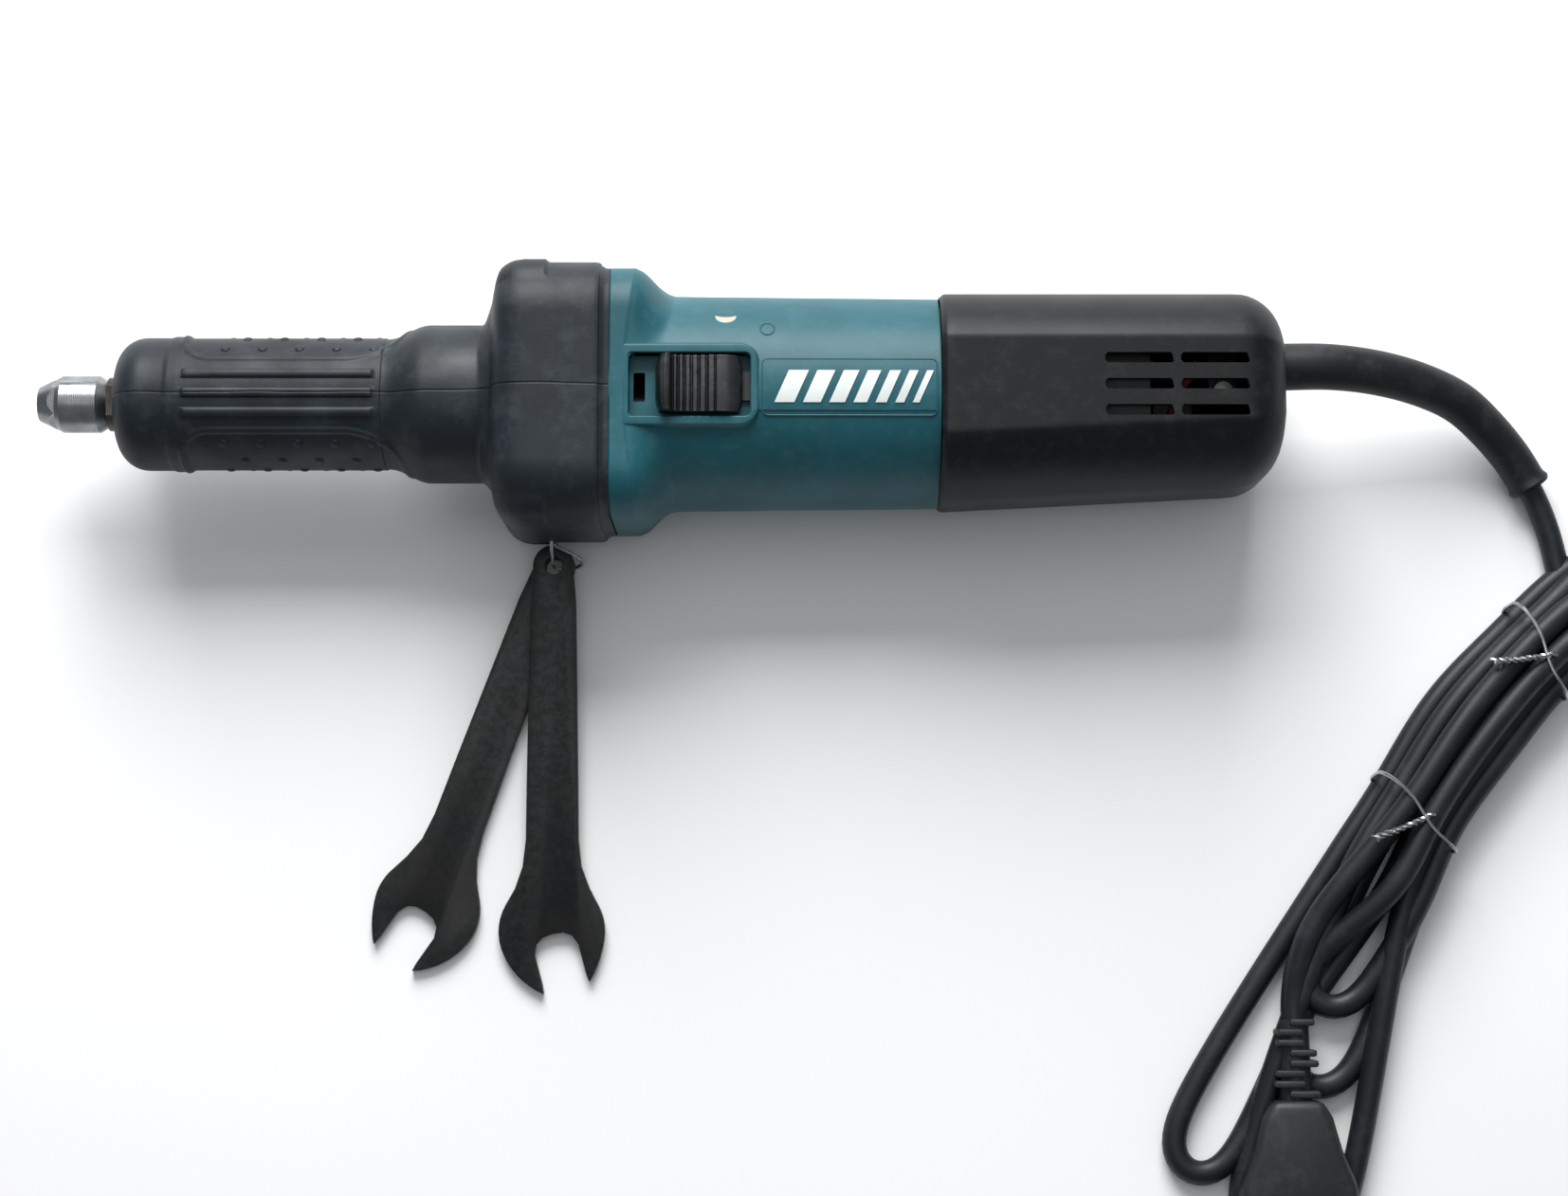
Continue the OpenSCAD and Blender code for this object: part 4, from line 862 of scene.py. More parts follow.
    def build_plug(self) -> None:
        """Makes the moulded plug with its ladder-shaped strain relief and its two pins."""
        x, y = self.plug
        low = FLOOR_Z / MM
        bm = bmesh.new()
        side = ((7, 0), (10, 5), (12.5, 14), (17, 25), (17, 36))
        outline = [(x - width, y - back, low + 0.3) for width, back in side]
        outline += [(x + width, y - back, low + 0.3) for width, back in reversed(side)]
        prism(bm, outline, Vector((0, 0, 15.2)))
        bevel_sharp(bm, 2.6, 3, 20)
        body = finished(bm, "plug_moulding", PLUG)
        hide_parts("plug_body")
        bm = bmesh.new()
        for i in range(4):
            near, half = y + 0.6 + i * 5.9, 6.6 - i * 0.45
            for gap in (-1, 1):
                # Rungs on alternate sides leave the relief free to bend
                left = x - half if (i + (gap > 0)) % 2 else x - half * 0.35
                right = x + half * 0.35 if (i + (gap > 0)) % 2 else x + half
                y0 = near + (0 if gap < 0 else 2.9)
                outline = rounded_outline(left, right, y0, y0 + 2.0, (0.7,) * 4, low + 1.6 + i * 0.2, 3)
                prism(bm, outline, Vector((0, 0, 12.8 - i * 0.5)))
        bevel_sharp(bm, 0.5, 2, 60)
        core = [Vector((x, y - 2 + 5.0 * i, low + 8)) * MM for i in range(6)]
        swept(bm, core, [(5.0 - 0.15 * i) * MM for i in range(6)], 24)
        relief = finished(bm, "plug_strain_relief", PLUG)
        dress(PLATED, "plug_pins")
        self.objects += [body, relief, frame["nodes"]["plug_pins"]]

    def build(self) -> None:
        """Builds the cord and what is on it."""
        self.build_cord()
        self.build_ties()
        self.build_plug()


# ---- Nose ------------------------------------------------------------------------------------------


@dataclass
class Nose:
    """The rubber sleeve over the nose: grip, bulge, and the boot over the motor's flange. Millimetres."""

    front: float = 23.4
    grip_r: float = 19.25
    grip_end: float = 101.5
    bulge_start: float = 113.5
    bulge_r: float = 22.9
    bulge_end: float = 127.5
    flange_x: float = 134.0
    rear: float = 166.5
    half_w: float = 37.9
    half_h: float = 33.2
    corner: float = 17.0
    boss: tuple[float, float, float] = (28.6, 21.0, 9.3)
    boss_end: float = 148.6
    pad: tuple[float, float] = (44.0, 107.0)
    pad_half_deg: float = 56.0
    dot_pitch: float = 10.6
    dot_start: float = 55.9
    rib_deg: tuple[float, ...] = (-17.0, 0.0, 17.0)
    rib_x: tuple[float, float] = (43.9, 99.5)
    steps: int = 320

    def pad_distance(self, x: float, angle: float) -> float:
        """Gives how far a point of the grip is outside the nearest side pad's edge, negative inside it."""
        start, end = self.pad
        side = abs(math.atan2(math.sin(angle), abs(math.cos(angle))))
        arc = side * self.grip_r
        limit = math.radians(self.pad_half_deg) * self.grip_r
        # The rear corners sweep further than the front ones
        radius = 8.0 if x < (start + end) / 2 else 17.0
        over_x = abs(x - (start + end) / 2) - (end - start) / 2 + radius
        over_a = arc - limit + radius
        return math.hypot(max(over_x, 0.0), max(over_a, 0.0)) + min(max(over_x, over_a), 0.0) - radius

    def grip_relief(self, x: float, angle: float) -> float:
        """Gives the height of the pads' lips and of the ribs over the plain round grip."""
        if not self.front + 3 < x < self.pad[1] + 2:
            return 0.0
        distance = self.pad_distance(x, angle)
        height = 0.42 * ridge(distance - 0.3, 2.2) - 0.12 * smoothstep(0.4, -0.8, distance)
        for side in (90.0, 270.0):
            for rib in self.rib_deg:
                off = (math.degrees(angle) - side - rib + 180) % 360 - 180
                ends = smoothstep(self.rib_x[0], self.rib_x[0] + 1.4, x) * smoothstep(
                    self.rib_x[1], self.rib_x[1] - 1.4, x
                )
                height += 0.95 * ends * ridge(math.radians(off) * self.grip_r, 2.9) ** 0.8
        return height

    def flange_reach(self, angle: float, inset: float, boss: float) -> float:
        """Gives the boot's outline at an angle, with its four corner bosses as far out as boss says."""
        reach = rounded_reach(angle, self.half_w - inset, self.half_h - inset, self.corner - inset)
        y, z, radius = self.boss
        c, s = abs(math.cos(angle)), abs(math.sin(angle))
        along = c * y + s * z
        under = along * along - y * y - z * z + (radius - inset) ** 2
        if boss > 0 and under > 0:
            reach = max(reach, reach + (along + math.sqrt(under) - reach) * boss)
        return reach

    def place(self, x: float, radius: float, angle: float) -> tuple[float, float, float]:
        """Moves a point of the spun sleeve to where the moulding has it."""
        inner = radius < 17.0
        if inner:
            k = smoothstep(self.bulge_end, self.flange_x + 2, x)
            reach = radius + k * (rounded_reach(angle, self.half_w - 3.0, 29.8, 11.6) - radius)
            return x, reach * math.cos(angle), reach * math.sin(angle)
        k = smoothstep(self.bulge_end + 1.0, self.flange_x + 0.6, x)
        boss = smoothstep(self.flange_x - 1, self.flange_x + 1.5, x) * smoothstep(
            self.boss_end + 0.5, self.boss_end - 0.5, x
        )
        drop = 0.0
        if k > 0:
            # The bands above the bulge: how far the outline stands in from the full flange
            drop = self.shoulder(x)
        round_r = radius + self.grip_relief(x, angle)
        reach = (1 - k) * round_r + k * (self.flange_reach(angle, drop, boss))
        return x, reach * math.cos(angle), reach * math.sin(angle)

    def shoulder(self, x: float) -> float:
        """Gives how far the boot's outline stands in from its full size, at its front and its rear lip."""
        if x < self.flange_x + 8.0:
            share = min(1.0, (self.flange_x + 8.0 - x) / 9.0)
            rings = 0.35 * ridge(x - 130.3, 1.6) + 0.35 * ridge(x - 133.0, 1.6)
            return 8.5 * (1 - math.sqrt(1 - share**2)) - rings
        if x > self.rear - 4.6:
            lip = x - (self.rear - 4.6)
            return min(1.3, 0.13 * lip * lip) + (0.5 if x > self.rear - 2.6 else 0.0)
        return 0.0

    def profile(self) -> list[tuple[float, float]]:
        """Gives the sleeve's closed section as x and radius."""
        nose = 8.6
        outline = [(self.front, self.grip_r - nose)]
        for i in range(1, 11):
            a = math.radians(9 * i)
            outline.append((self.front + nose * (1 - math.cos(a)), self.grip_r - nose + nose * math.sin(a)))
        x = self.front + nose
        while x < self.grip_end - 1.2:
            x += 0.62
            collar = 0.35 * smoothstep(39.0, 40.2, x) * smoothstep(44.6, 43.2, x)
            outline.append((x, self.grip_r + collar - 0.25 * smoothstep(100, 110, x)))
        for i in range(1, 37):
            at = self.grip_end - 1 + (self.bulge_end - 3 - self.grip_end) * i / 36
            rise = smoothstep(self.grip_end, self.bulge_start, at)
            outline.append((at, self.grip_r - 0.25 + (self.bulge_r - self.grip_r + 0.25) * rise))
        for at in (
            124.6, 125.4, 126.2, 127.0, 127.7, 128.4, 129.1, 129.8, 130.5, 131.2, 131.9, 132.6, 133.3,
            134.0, 134.8, 135.6, 136.6, 138.0, 139.4, 142, 145, 147.6, 148.1, 148.6, 149.1, 149.6, 152,
            156, 160, 161.9, 162.5, 163.1, 163.6, 163.9, 163.95, 164.4, 165.2, 166.0, self.rear,
        ):
            outline.append((at, self.bulge_r))
        inner = [
            (self.rear, 16.0), (136.0, 16.0), (129.0, 16.0), (112.0, 15.9), (26.2, 15.9), (26.2, 9.4),
            (23.4, 9.4),
        ]
        return outline + inner

    def build(self) -> None:
        """Builds the sleeve and the dots on its side pads."""
        bm = bmesh.new()
        spun(bm, self.profile(), self.steps)
        reshape(bm, self.place)
        self.add_dots(bm)
        piece = finished(bm, "nose_sleeve", BOOT)
        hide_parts("nose_boot")

    def add_dots(self, bm: BMesh) -> None:
        """Adds the low round dots in staggered rows on each pad."""
        for side in (0.0, 180.0):
            for row, lean in enumerate((-44.0, -22.0, 0.0, 22.0, 44.0)):
                stagger = 0.5 * (row % 2)
                for i in range(4 if stagger else 5):
                    x = self.dot_start + (i + stagger) * self.dot_pitch
                    turn = Matrix.Rotation(math.radians(side + lean), 4, "X")
                    flat = Matrix.Diagonal((1.45, 0.75, 1.45, 1.0))
                    place = turn @ Matrix.Translation(Vector((x, self.grip_r - 0.3, 0)) * MM) @ flat
                    bmesh.ops.create_uvsphere(bm, u_segments=16, v_segments=10, radius=MM, matrix=place)


# ---- Motor section ------------------------------------------------------------------------------------


@dataclass
class MotorBody:
    """The teal motor housing: flange, flare, round body, and the raised pad with the recess for the knob."""

    front: float = 166.5
    flange_t: float = 7.5
    flare: float = 10.0
    body_r: float = 31.2
    rear_r: float = 30.3
    rear: float = 260.0
    half_w: float = 35.9
    half_h: float = 31.4
    corner: float = 14.0
    pad_z: float = 31.4
    recess: tuple[float, float, float] = (172.2, 206.3, 18.0)
    recess_z: float = 26.0
    steps: int = 256

    def profile(self) -> list[tuple[float, float]]:
        """Gives the housing's closed section as x and radius, which place() then shapes."""
        outline = [(self.front, 40.0), (self.front + 0.5, 40.0), (self.front + 2.5, 40.0)]
        start = self.front + self.flange_t
        outline += [(self.front + 3.6 + 0.42 * i, 36.0) for i in range(36)]
        for i in range(1, 13):
            share = i / 12
            outline.append(
                (start + self.flare + 1.5 + (self.rear - start - self.flare - 2.1) * share, 34.0)
            )
        outline += [(self.rear - 0.2, 34.0), (self.rear, 33.9)]
        inner = [(self.rear, 27.4), (self.front + 12, 27.4), (self.front, 27.4)]
        return outline + inner

    def place(self, x: float, radius: float, angle: float) -> tuple[float, float, float]:
        """Moves a point of the spun housing to where the moulding has it."""
        if radius < 28:
            return x, radius * math.cos(angle), radius * math.sin(angle)
        plain = self.plain_r(x)
        inset = 0.5 if x < self.front + 0.3 else 0.0
        flange = rounded_reach(angle, self.half_w - inset, self.half_h - inset, self.corner - inset)
        # The flange is thinnest over the middle and thicker towards its sides
        edge = self.front + 4.2 + 3.0 * smoothstep(0.3, 0.9, abs(math.cos(angle)))
        fall = smoothstep(edge, edge + self.flare + 1.5, x)
        crisp = 0.35 * smoothstep(edge - 0.2, edge + 0.8, x)
        reach = plain + max(0.0, flange - plain - crisp) * (1 - fall)
        if radius < 33.95:
            reach -= 0.3
        return x, reach * math.cos(angle), reach * math.sin(angle)

    def build(self) -> None:
        """Builds the housing, its pad, the recess's rim, the marks and the label's border."""
        bm = bmesh.new()
        spun(bm, self.profile(), self.steps)
        reshape(bm, self.place)
        shell = finished(bm, "motor_shell", TEAL)
        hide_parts("motor_housing")
        x0, x1, width = self.recess
        hole = bmesh.new()
        prism(hole, rounded_outline(x0, x1, -width / 2, width / 2, (1.5,) * 4, 20.0), Vector((0, 0, 20)))
        cut(shell, hole)
        self.build_pad()
        self.build_marks()

    def build_pad(self) -> None:
        """Builds the raised frame round the recess, and the recess's floor with its slot."""
        x0, x1, width = self.recess
        bm = bmesh.new()
        outer = rounded_outline(
            x0 - 2.6, x1 + 2.4, -width / 2 - 2.7, width / 2 + 2.7, (5.6, 1, 1, 5.6), 22.0, 8
        )
        slab = prism(bm, outer, Vector((0, 0, self.pad_z - 0.04 - 22.0)))
        for vert in slab[: len(outer)]:
            vert.co.y *= 1.2
            vert.co.x += 1.5 * MM * (vert.co.x > x1 * MM)
        bevel_sharp(bm, 0.7, 3, 50)
        rim = finished(bm, "switch_rim", TEAL)
        hole = bmesh.new()
        prism(
            hole, rounded_outline(x0, x1, -width / 2, width / 2, (1.6, 0.8, 0.8, 1.6), 20.0),
            Vector((0, 0, 20)),
        )
        cut(rim, hole)
        soften(rim, 0.35, 50)
        bm = bmesh.new()
        z = self.recess_z
        floor = rounded_outline(x0 - 0.5, x1 + 0.5, -width / 2 - 0.5, width / 2 + 0.5, (1,) * 4, z - 1.6)
        prism(bm, floor, Vector((0, 0, 1.6)))
        tray = finished(bm, "switch_recess_floor", TEAL)
        hole = bmesh.new()
        prism(hole, rounded_outline(x0 + 1.1, x0 + 4.4, -4.2, 4.2, (0.5,) * 4, z - 4), Vector((0, 0, 8)))
        cut(tray, hole)

    def plain_r(self, x: float) -> float:
        """Gives the round body's radius, which shrinks a little to the rear."""
        start = self.front + self.flange_t
        return self.rear_r + (self.body_r - self.rear_r) * (self.rear - x) / (self.rear - start)

    def skin_z(self, x: float, y: float) -> float:
        """Gives the height of the round body above a place."""
        return math.sqrt(max(0.0, self.plain_r(x) ** 2 - y * y))

    def on_skin(self, bm: BMesh, lift: float, middle: float = 24.0) -> None:
        """Lays what was drawn flat at the height middle onto the round body, lift above it."""
        for vert in bm.verts:
            x, y, z = (c / MM for c in vert.co)
            vert.co = Vector((x, y, self.skin_z(x, y) + lift + z - middle)) * MM

    def build_marks(self) -> None:
        """Builds the on and off marks, the oval inspection plug and the label's plain border."""
        bm = bmesh.new()
        # Ring for off, bar for on
        outline = [(211.0 + 1.95 * math.cos(a), 17.0 + 1.95 * math.sin(a), 24.0) for a in self.turns(40)]
        swept(bm, [Vector(p) * MM for p in outline], [0.28 * MM] * 40, 8, closed=True)
        bar = [Vector((177.0, 19.5 - 1.9 + 0.38 * i, 24.0)) * MM for i in range(11)]
        swept(bm, bar, [0.28 * MM] * 11, 8)
        self.on_skin(bm, 0.02)
        finished(bm, "switch_marks", TEAL)
        for name, finish, y, radii, lift in (
            ("inspection_plug", INNER, 21.0, (3.3, 2.3, 0.5), -0.22),
            ("inspection_plug_lid", TEAL, 21.75, (3.15, 1.55, 0.62), -0.2),
        ):
            bm = bmesh.new()
            oval = Matrix.Translation(Vector((199.2, y, 24.0)) * MM) @ Matrix.Diagonal((*radii, 1.0))
            bmesh.ops.create_uvsphere(bm, u_segments=40, v_segments=16, radius=MM, matrix=oval)
            self.on_skin(bm, lift)
            finished(bm, name, finish)
        bm = bmesh.new()
        corner = rounded_outline(209.6, 258.6, -8.6, 7.4, (1.6,) * 4, 24.0, 5)
        points = []
        for a, b in zip(corner, corner[1:] + corner[:1]):
            steps = max(1, int(math.dist(a, b) / 1.5))
            points += [Vector(a).lerp(Vector(b), i / steps) * MM for i in range(steps)]
        swept(bm, points, [0.22 * MM] * len(points), 6, closed=True)
        self.on_skin(bm, 0.28)
        finished(bm, "label_border", TEAL)
        self.build_motif()

    def build_motif(self) -> None:
        """Builds the plain badge motif: slanted printed bars that grow thinner towards the rear."""
        bm = bmesh.new()
        x = 213.0
        for i in range(7):
            wide = 5.6 - 0.62 * i
            for row in range(14):
                y = -5.1 + 0.65 * row
                lean = 0.45 * (y + 5.1)
                outline = [(x + lean, y, 24.0), (x + wide + lean, y, 24.0)]
                outline += [(x + wide + lean + 0.29, y + 0.66, 24.0), (x + lean + 0.29, y + 0.66, 24.0)]
                prism(bm, outline, Vector((0, 0, 0.12)))
            x += wide + 2.4
        self.on_skin(bm, 0.5)
        finished(bm, "badge_motif", PRINT)

    @staticmethod
    def turns(count: int) -> Iterable[float]:
        """Gives count angles round a circle."""
        return (2 * math.pi * i / count for i in range(count))


@dataclass
class SwitchKnob:
    """The sliding knob: a tall front lip, a ribbed hollow for the thumb and a smooth rear. Millimetres."""

    x0: float = 179.7
    x1: float = 204.1
    base: float = 28.8
    half_w: float = 8.0
    top: float = 36.5

    def build(self) -> None:
        """Builds the knob from its side view."""
        x0, x1, base, top = self.x0, self.x1, self.base, self.top
        side = [
            (x0 + 0.3, base), (x0, base + 2), (x0 + 0.7, top - 2.0), (x0 + 1.6, top - 0.5), (x0 + 2.9, top)
        ]
        side += [(x0 + 4.0, top - 0.35)]
        near = x0 + 4.9
        for i in range(6):
            # The ribs grow wider towards the rear
            wide = 1.45 + 0.17 * i
            share = (near - x0 - 4.9) / 12.0
            floor = top - 2.7 - 1.3 * math.sin(math.pi * min(1.0, share * 0.8 + 0.12))
            side += [(near, floor - 0.45), (near + 0.4, floor + 0.3), (near + wide - 0.5, floor + 0.3)]
            side += [(near + wide - 0.1, floor - 0.45)]
            near += wide + 0.15
        side += [(x1 - 7.2, top - 3.1), (x1 - 4.6, top - 3.2), (x1 - 2.2, top - 4.0), (x1 - 0.6, top - 5.2)]
        side += [(x1, top - 6.4), (x1 - 0.1, base)]
        bm = bmesh.new()
        prism(bm, [(x, -self.half_w, z) for x, z in reversed(side)], Vector((0, 2 * self.half_w, 0)))
        self.round_corners(bm)
        piece = finished(bm, "thumb_knob", KNOB, "switch_knob")
        soften(piece, 0.28, 38)
        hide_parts("switch_knob")

    def round_corners(self, bm: BMesh) -> None:
        """Adds lengthwise cuts and draws the outer ones in at the ends, which rounds the knob's plan."""
        for y in (-7.4, -6.2, -4.5, 0.0, 4.5, 6.2, 7.4):
            bmesh.ops.bisect_plane(
                bm, geom=bm.verts[:] + bm.edges[:] + bm.faces[:], plane_co=(
                    0, y * MM, 0
                ), plane_no=(0, 1, 0)
            )
        middle, reach = (self.x0 + self.x1) / 2, (self.x1 - self.x0) / 2
        for vert in bm.verts:
            x, y, z = (c / MM for c in vert.co)
            side = abs(y) / self.half_w
            end = abs(x - middle) / reach
            pull = 0.9 * smoothstep(0.5, 1.0, side) ** 2 * smoothstep(0.6, 1.0, end)
            rise = 0.6 * smoothstep(0.45, 1.0, side) * smoothstep(self.base + 1, self.top, z)
            vert.co = Vector((x - math.copysign(pull, x - middle), y, z - rise)) * MM


# ---- Rear -------------------------------------------------------------------------------------------------


@dataclass
class RearEnd:
    """The black rear cover with its air slots, and the cord guard that leaves it. Millimetres."""

    front: float = 260.0
    rear: float = 358.0
    half_w: float = 30.3
    half_h: float = 32.3
    corner: float = 27.0
    proud: float = 2.2
    taper: float = 5.0
    slot_x: tuple[float, ...] = (305.5, 326.7)
    slot_len: float = 19.0
    slot_h: float = 3.0
    pitch: float = 7.4
    cord_y: float = 11.0
    skin: float = 60.0
    guard_path: tuple[Point, ...] = (
        (0, 11, 0), (16, 11.3, -1), (31, 10.3, -5), (45, 7.6, -10), (57, 3.4, -16), (66, -3.1, -21), (
            74, -11.2, -25
        ), (80, -20, -27),
    )
    steps: int = 256

    def place(self, x: float, radius: float, angle: float) -> tuple[float, float, float]:
        """Moves a point of the spun cover to its rounded-square section. The radius says how far in it is."""
        inset = self.skin - radius
        along = (x - self.front) / (self.rear - self.front)
        narrow = self.taper * along
        half_w = self.half_w - narrow / 2 - inset
        half_h = self.half_h - inset
        share = 1.0
        if half_w < 4 or half_h < 4:
            share = max(0.02, min(half_w, half_h) / 4)
            half_w, half_h = max(half_w, 4), max(half_h, 4)
        corner = max(2.0, min(self.corner - inset * 0.6, half_w - 0.5, half_h - 0.5))
        reach = rounded_reach(angle, half_w, half_h + self.proud, corner) * share
        s = abs(math.sin(angle))
        if s > 1e-6:
            reach = min(reach, half_h * share / s)
        return x, narrow / 2 + reach * math.cos(angle), reach * math.sin(angle)

    def profile(self) -> list[tuple[float, float]]:
        """Gives the cover's side view as x and how far its skin lies below the number skin."""
        full = self.skin
        outline = [(self.front, full - 1.1), (self.front + 0.5, full - 0.7)]
        outline += [(self.front + 1.1, full - 0.2), (self.front + 1.8, full)]
        outline += [(self.front + 4 + i * 5.0, full) for i in range(17)]
        r = 13.0
        for i in range(1, 13):
            a = math.radians(7.5 * i)
            outline.append((self.rear - r + r * math.sin(a), full - (r - r * math.cos(a)) * 1.04))
        outline.append((self.rear, full - 14.3))
        return outline

    def build(self) -> None:
        """Builds the cover, cuts its slots, and builds the cord guard."""
        bm = bmesh.new()
        verts = [bm.verts.new((x * MM, r * MM, 0.0)) for x, r in self.profile()]
        edges = [bm.edges.new(pair) for pair in zip(verts, verts[1:])]
        bmesh.ops.spin(
            bm, geom=verts + edges, cent=(
                0, 0, 0
            ), axis=(1, 0, 0), angle=2 * math.pi, steps=self.steps, use_merge=True
        )
        reshape(bm, self.place)
        hole = [e for e in bm.edges if e.is_boundary and e.verts[0].co.x > (self.rear - 1) * MM]
        bmesh.ops.holes_fill(bm, edges=hole, sides=0)
        bmesh.ops.recalc_face_normals(bm, faces=bm.faces[:])
        # The wall goes inwards, so the skin has to face out
        centre = Vector(((self.front + self.rear) / 2, 0, 0)) * MM
        if sum(face.normal.dot(face.calc_center_median() - centre) for face in bm.faces) < 0:
            bmesh.ops.reverse_faces(bm, faces=bm.faces[:])
        shell = bm.faces[:]
        bmesh.ops.solidify(bm, geom=shell, thickness=2.4 * MM)
        cover = finished(bm, "rear_cover_shell", COVER, turned_out=True)
        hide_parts("rear_cover")
        for side in (1, -1):
            slots = bmesh.new()
            for x in self.slot_x:
                for row in (-1, 0, 1):
                    y = row * self.pitch
                    h = self.slot_h / 2
                    lean = 0.3
                    end = x + self.slot_len
                    outline = [(x + 0.7, y + h), (x, y + h * 0.4), (x, y - h * 0.4), (x + 0.7, y - h)]
                    outline += [(end - 0.6 + lean, y - h), (end + lean, y - h + 0.5)]
                    outline += [(end - lean, y + h - 0.3), (end - lean - 0.5, y + h)]
                    prism(slots, [(px, py, side * 27.0) for px, py in outline], Vector((0, 0, side * 8)))
            cut(cover, slots)
        soften(cover, 0.3, 60)
        self.build_guard()

    def build_guard(self) -> None:
        """Builds the tapered rubber guard with its thickened tip."""
        points = [Vector((self.rear + x, y, z)) * MM for x, y, z in self.guard_path]
        points.insert(0, Vector((self.rear - 4, self.cord_y, 0)) * MM)
        line = curve_through(points, 10)
        count = len(line)
        radii = []
        for i in range(count):
            share = i / (count - 1)
            radius = 7.05 - 1.35 * share + 0.75 * smoothstep(
                0.965, 0.99, share
            ) + 0.5 * smoothstep(0.08, 0.05, share)
            radii.append((radius - 0.5 * (i == count - 1)) * MM)
        bm = bmesh.new()
        swept(bm, line, radii, 40)
        guard = finished(bm, "cord_guard_sleeve", GUARD)
        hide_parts("cord_guard")


# ---- Spanners ----------------------------------------------------------------------------------------------


@dataclass
class Spanners:
    """The two stamped open-ended spanners that hang from one wire at the flange. Millimetres."""

    eye: tuple[float, float] = (147.5, -43.8)
    length: float = 131.0
    thickness: float = 3.0
    eye_r: float = 6.05
    hole_r: float = 2.6
    handle_w: float = 15.3
    head_r: float = 15.65
    jaw_half: float = 6.6
    jaw_tip: float = 17.2
    jaw_turn_deg: float = 15.0

    def outline(self) -> list[tuple[float, float]]:
        """Gives the stamping's outline, with the eye at the origin and the jaw at negative Y."""
        head_y = -(self.length - self.eye_r - self.jaw_tip)
        half = self.handle_w / 2
        left = [
            (-self.eye_r, -3), (-half + 0.9, -12), (-half + 0.1, head_y + 45), (-half - 0.1, head_y + 27),
            (-half - 1.0, head_y + 19),
        ]
        left += [(-half - 3.2, head_y + 12.6)]
        right = [(half + 3.4, head_y + 12.6), (half + 1.0, head_y + 19), (half + 0.1, head_y + 27)]
        right += [(half - 0.1, head_y + 45), (half - 0.9, -12), (self.eye_r, -3)]
        tip = math.atan2(self.jaw_half + 0.3, self.jaw_tip)
        points = self.head_side(math.pi * 0.75, math.pi * 1.5 - tip, head_y)
        jaw = [(-self.jaw_half, -14.5), (-self.jaw_half, -5.6), (-self.jaw_half + 1.2, -2.6)]
        jaw += [
            (-self.jaw_half + 3.4, -1.2), (0, -0.8), (self.jaw_half - 3.4, -1.2),
            (self.jaw_half - 1.2, -2.6),
        ]
        jaw += [(self.jaw_half, -5.6), (self.jaw_half, -14.5)]
        points += [self.turned(p, head_y) for p in jaw]
        points += reversed(self.head_side(math.pi * 2.08, math.pi * 1.5 + tip, head_y))
        arc = [math.pi * i / 24 for i in range(25)]
        eye = [(self.eye_r * math.cos(a), self.eye_r * math.sin(a)) for a in arc]
        return eye + left + points + right

    def head_side(self, start: float, end: float, head_y: float) -> list[tuple[float, float]]:
        """Gives one side of the head from the shoulder to the jaw's tip, in place."""
        return [self.turned(self.head_point(start, end, i / 14), head_y) for i in range(15)]

    def head_point(self, start: float, end: float, share: float) -> tuple[float, float]:
        """Gives a point of the head's side, which lengthens to the jaw's tip."""
        late = max(0.0, share - 0.45) / 0.55
        angle = start + (end - start) * share
        reach = self.head_r + (math.hypot(self.jaw_half + 0.3, self.jaw_tip) - self.head_r) * late**2
        return reach * math.cos(angle), reach * math.sin(angle)

    def turned(self, point: tuple[float, float], head_y: float) -> tuple[float, float]:
        """Turns a point of the head by the jaw's angle and puts it at the handle's end."""
        turn = math.radians(self.jaw_turn_deg)
        x, y = point
        return x * math.cos(turn) - y * math.sin(turn), x * math.sin(turn) + y * math.cos(turn) + head_y

    def build(self) -> None:
        """Builds both spanners where the CAD has them."""
        floor = FLOOR_Z / MM
        for name, height, turn, flip in (("spanner_upper", 7.4, 0.0, 1), ("spanner_lower", 1.8, -20.0, -1)):
            bm = bmesh.new()
            prism(bm, [(x, y, 0.0) for x, y in self.outline()], Vector((0, 0, self.thickness)))
            bevel_sharp(bm, 0.35, 2, 30)
            tilt = Matrix.Rotation(math.asin(height / (self.length - self.eye_r)), 4, "X")
            place = Matrix.Translation(Vector((*self.eye, floor + height)) * MM)
            place = place @ Matrix.Rotation(
                math.radians(turn), 4, "Z"
            ) @ tilt @ Matrix.Diagonal((flip, 1, 1, 1))
            hole = bmesh.new()
            turns = (math.pi * i / 20 for i in range(40))
            circle = [(self.hole_r * math.cos(a), self.hole_r * math.sin(a), -2.0) for a in turns]
            prism(hole, circle, Vector((0, 0, 8)))
            bmesh.ops.transform(bm, matrix=place, verts=bm.verts[:])
            bmesh.ops.transform(hole, matrix=place, verts=hole.verts[:])
            if flip < 0:
                bmesh.ops.reverse_faces(bm, faces=bm.faces[:])
                bmesh.ops.reverse_faces(hole, faces=hole.faces[:])
            plate = finished(bm, f"{name}_plate", BLACKED, name)
            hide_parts(name)
            cut(plate, hole)


# ---- Studio -------------------------------------------------------------------------------------


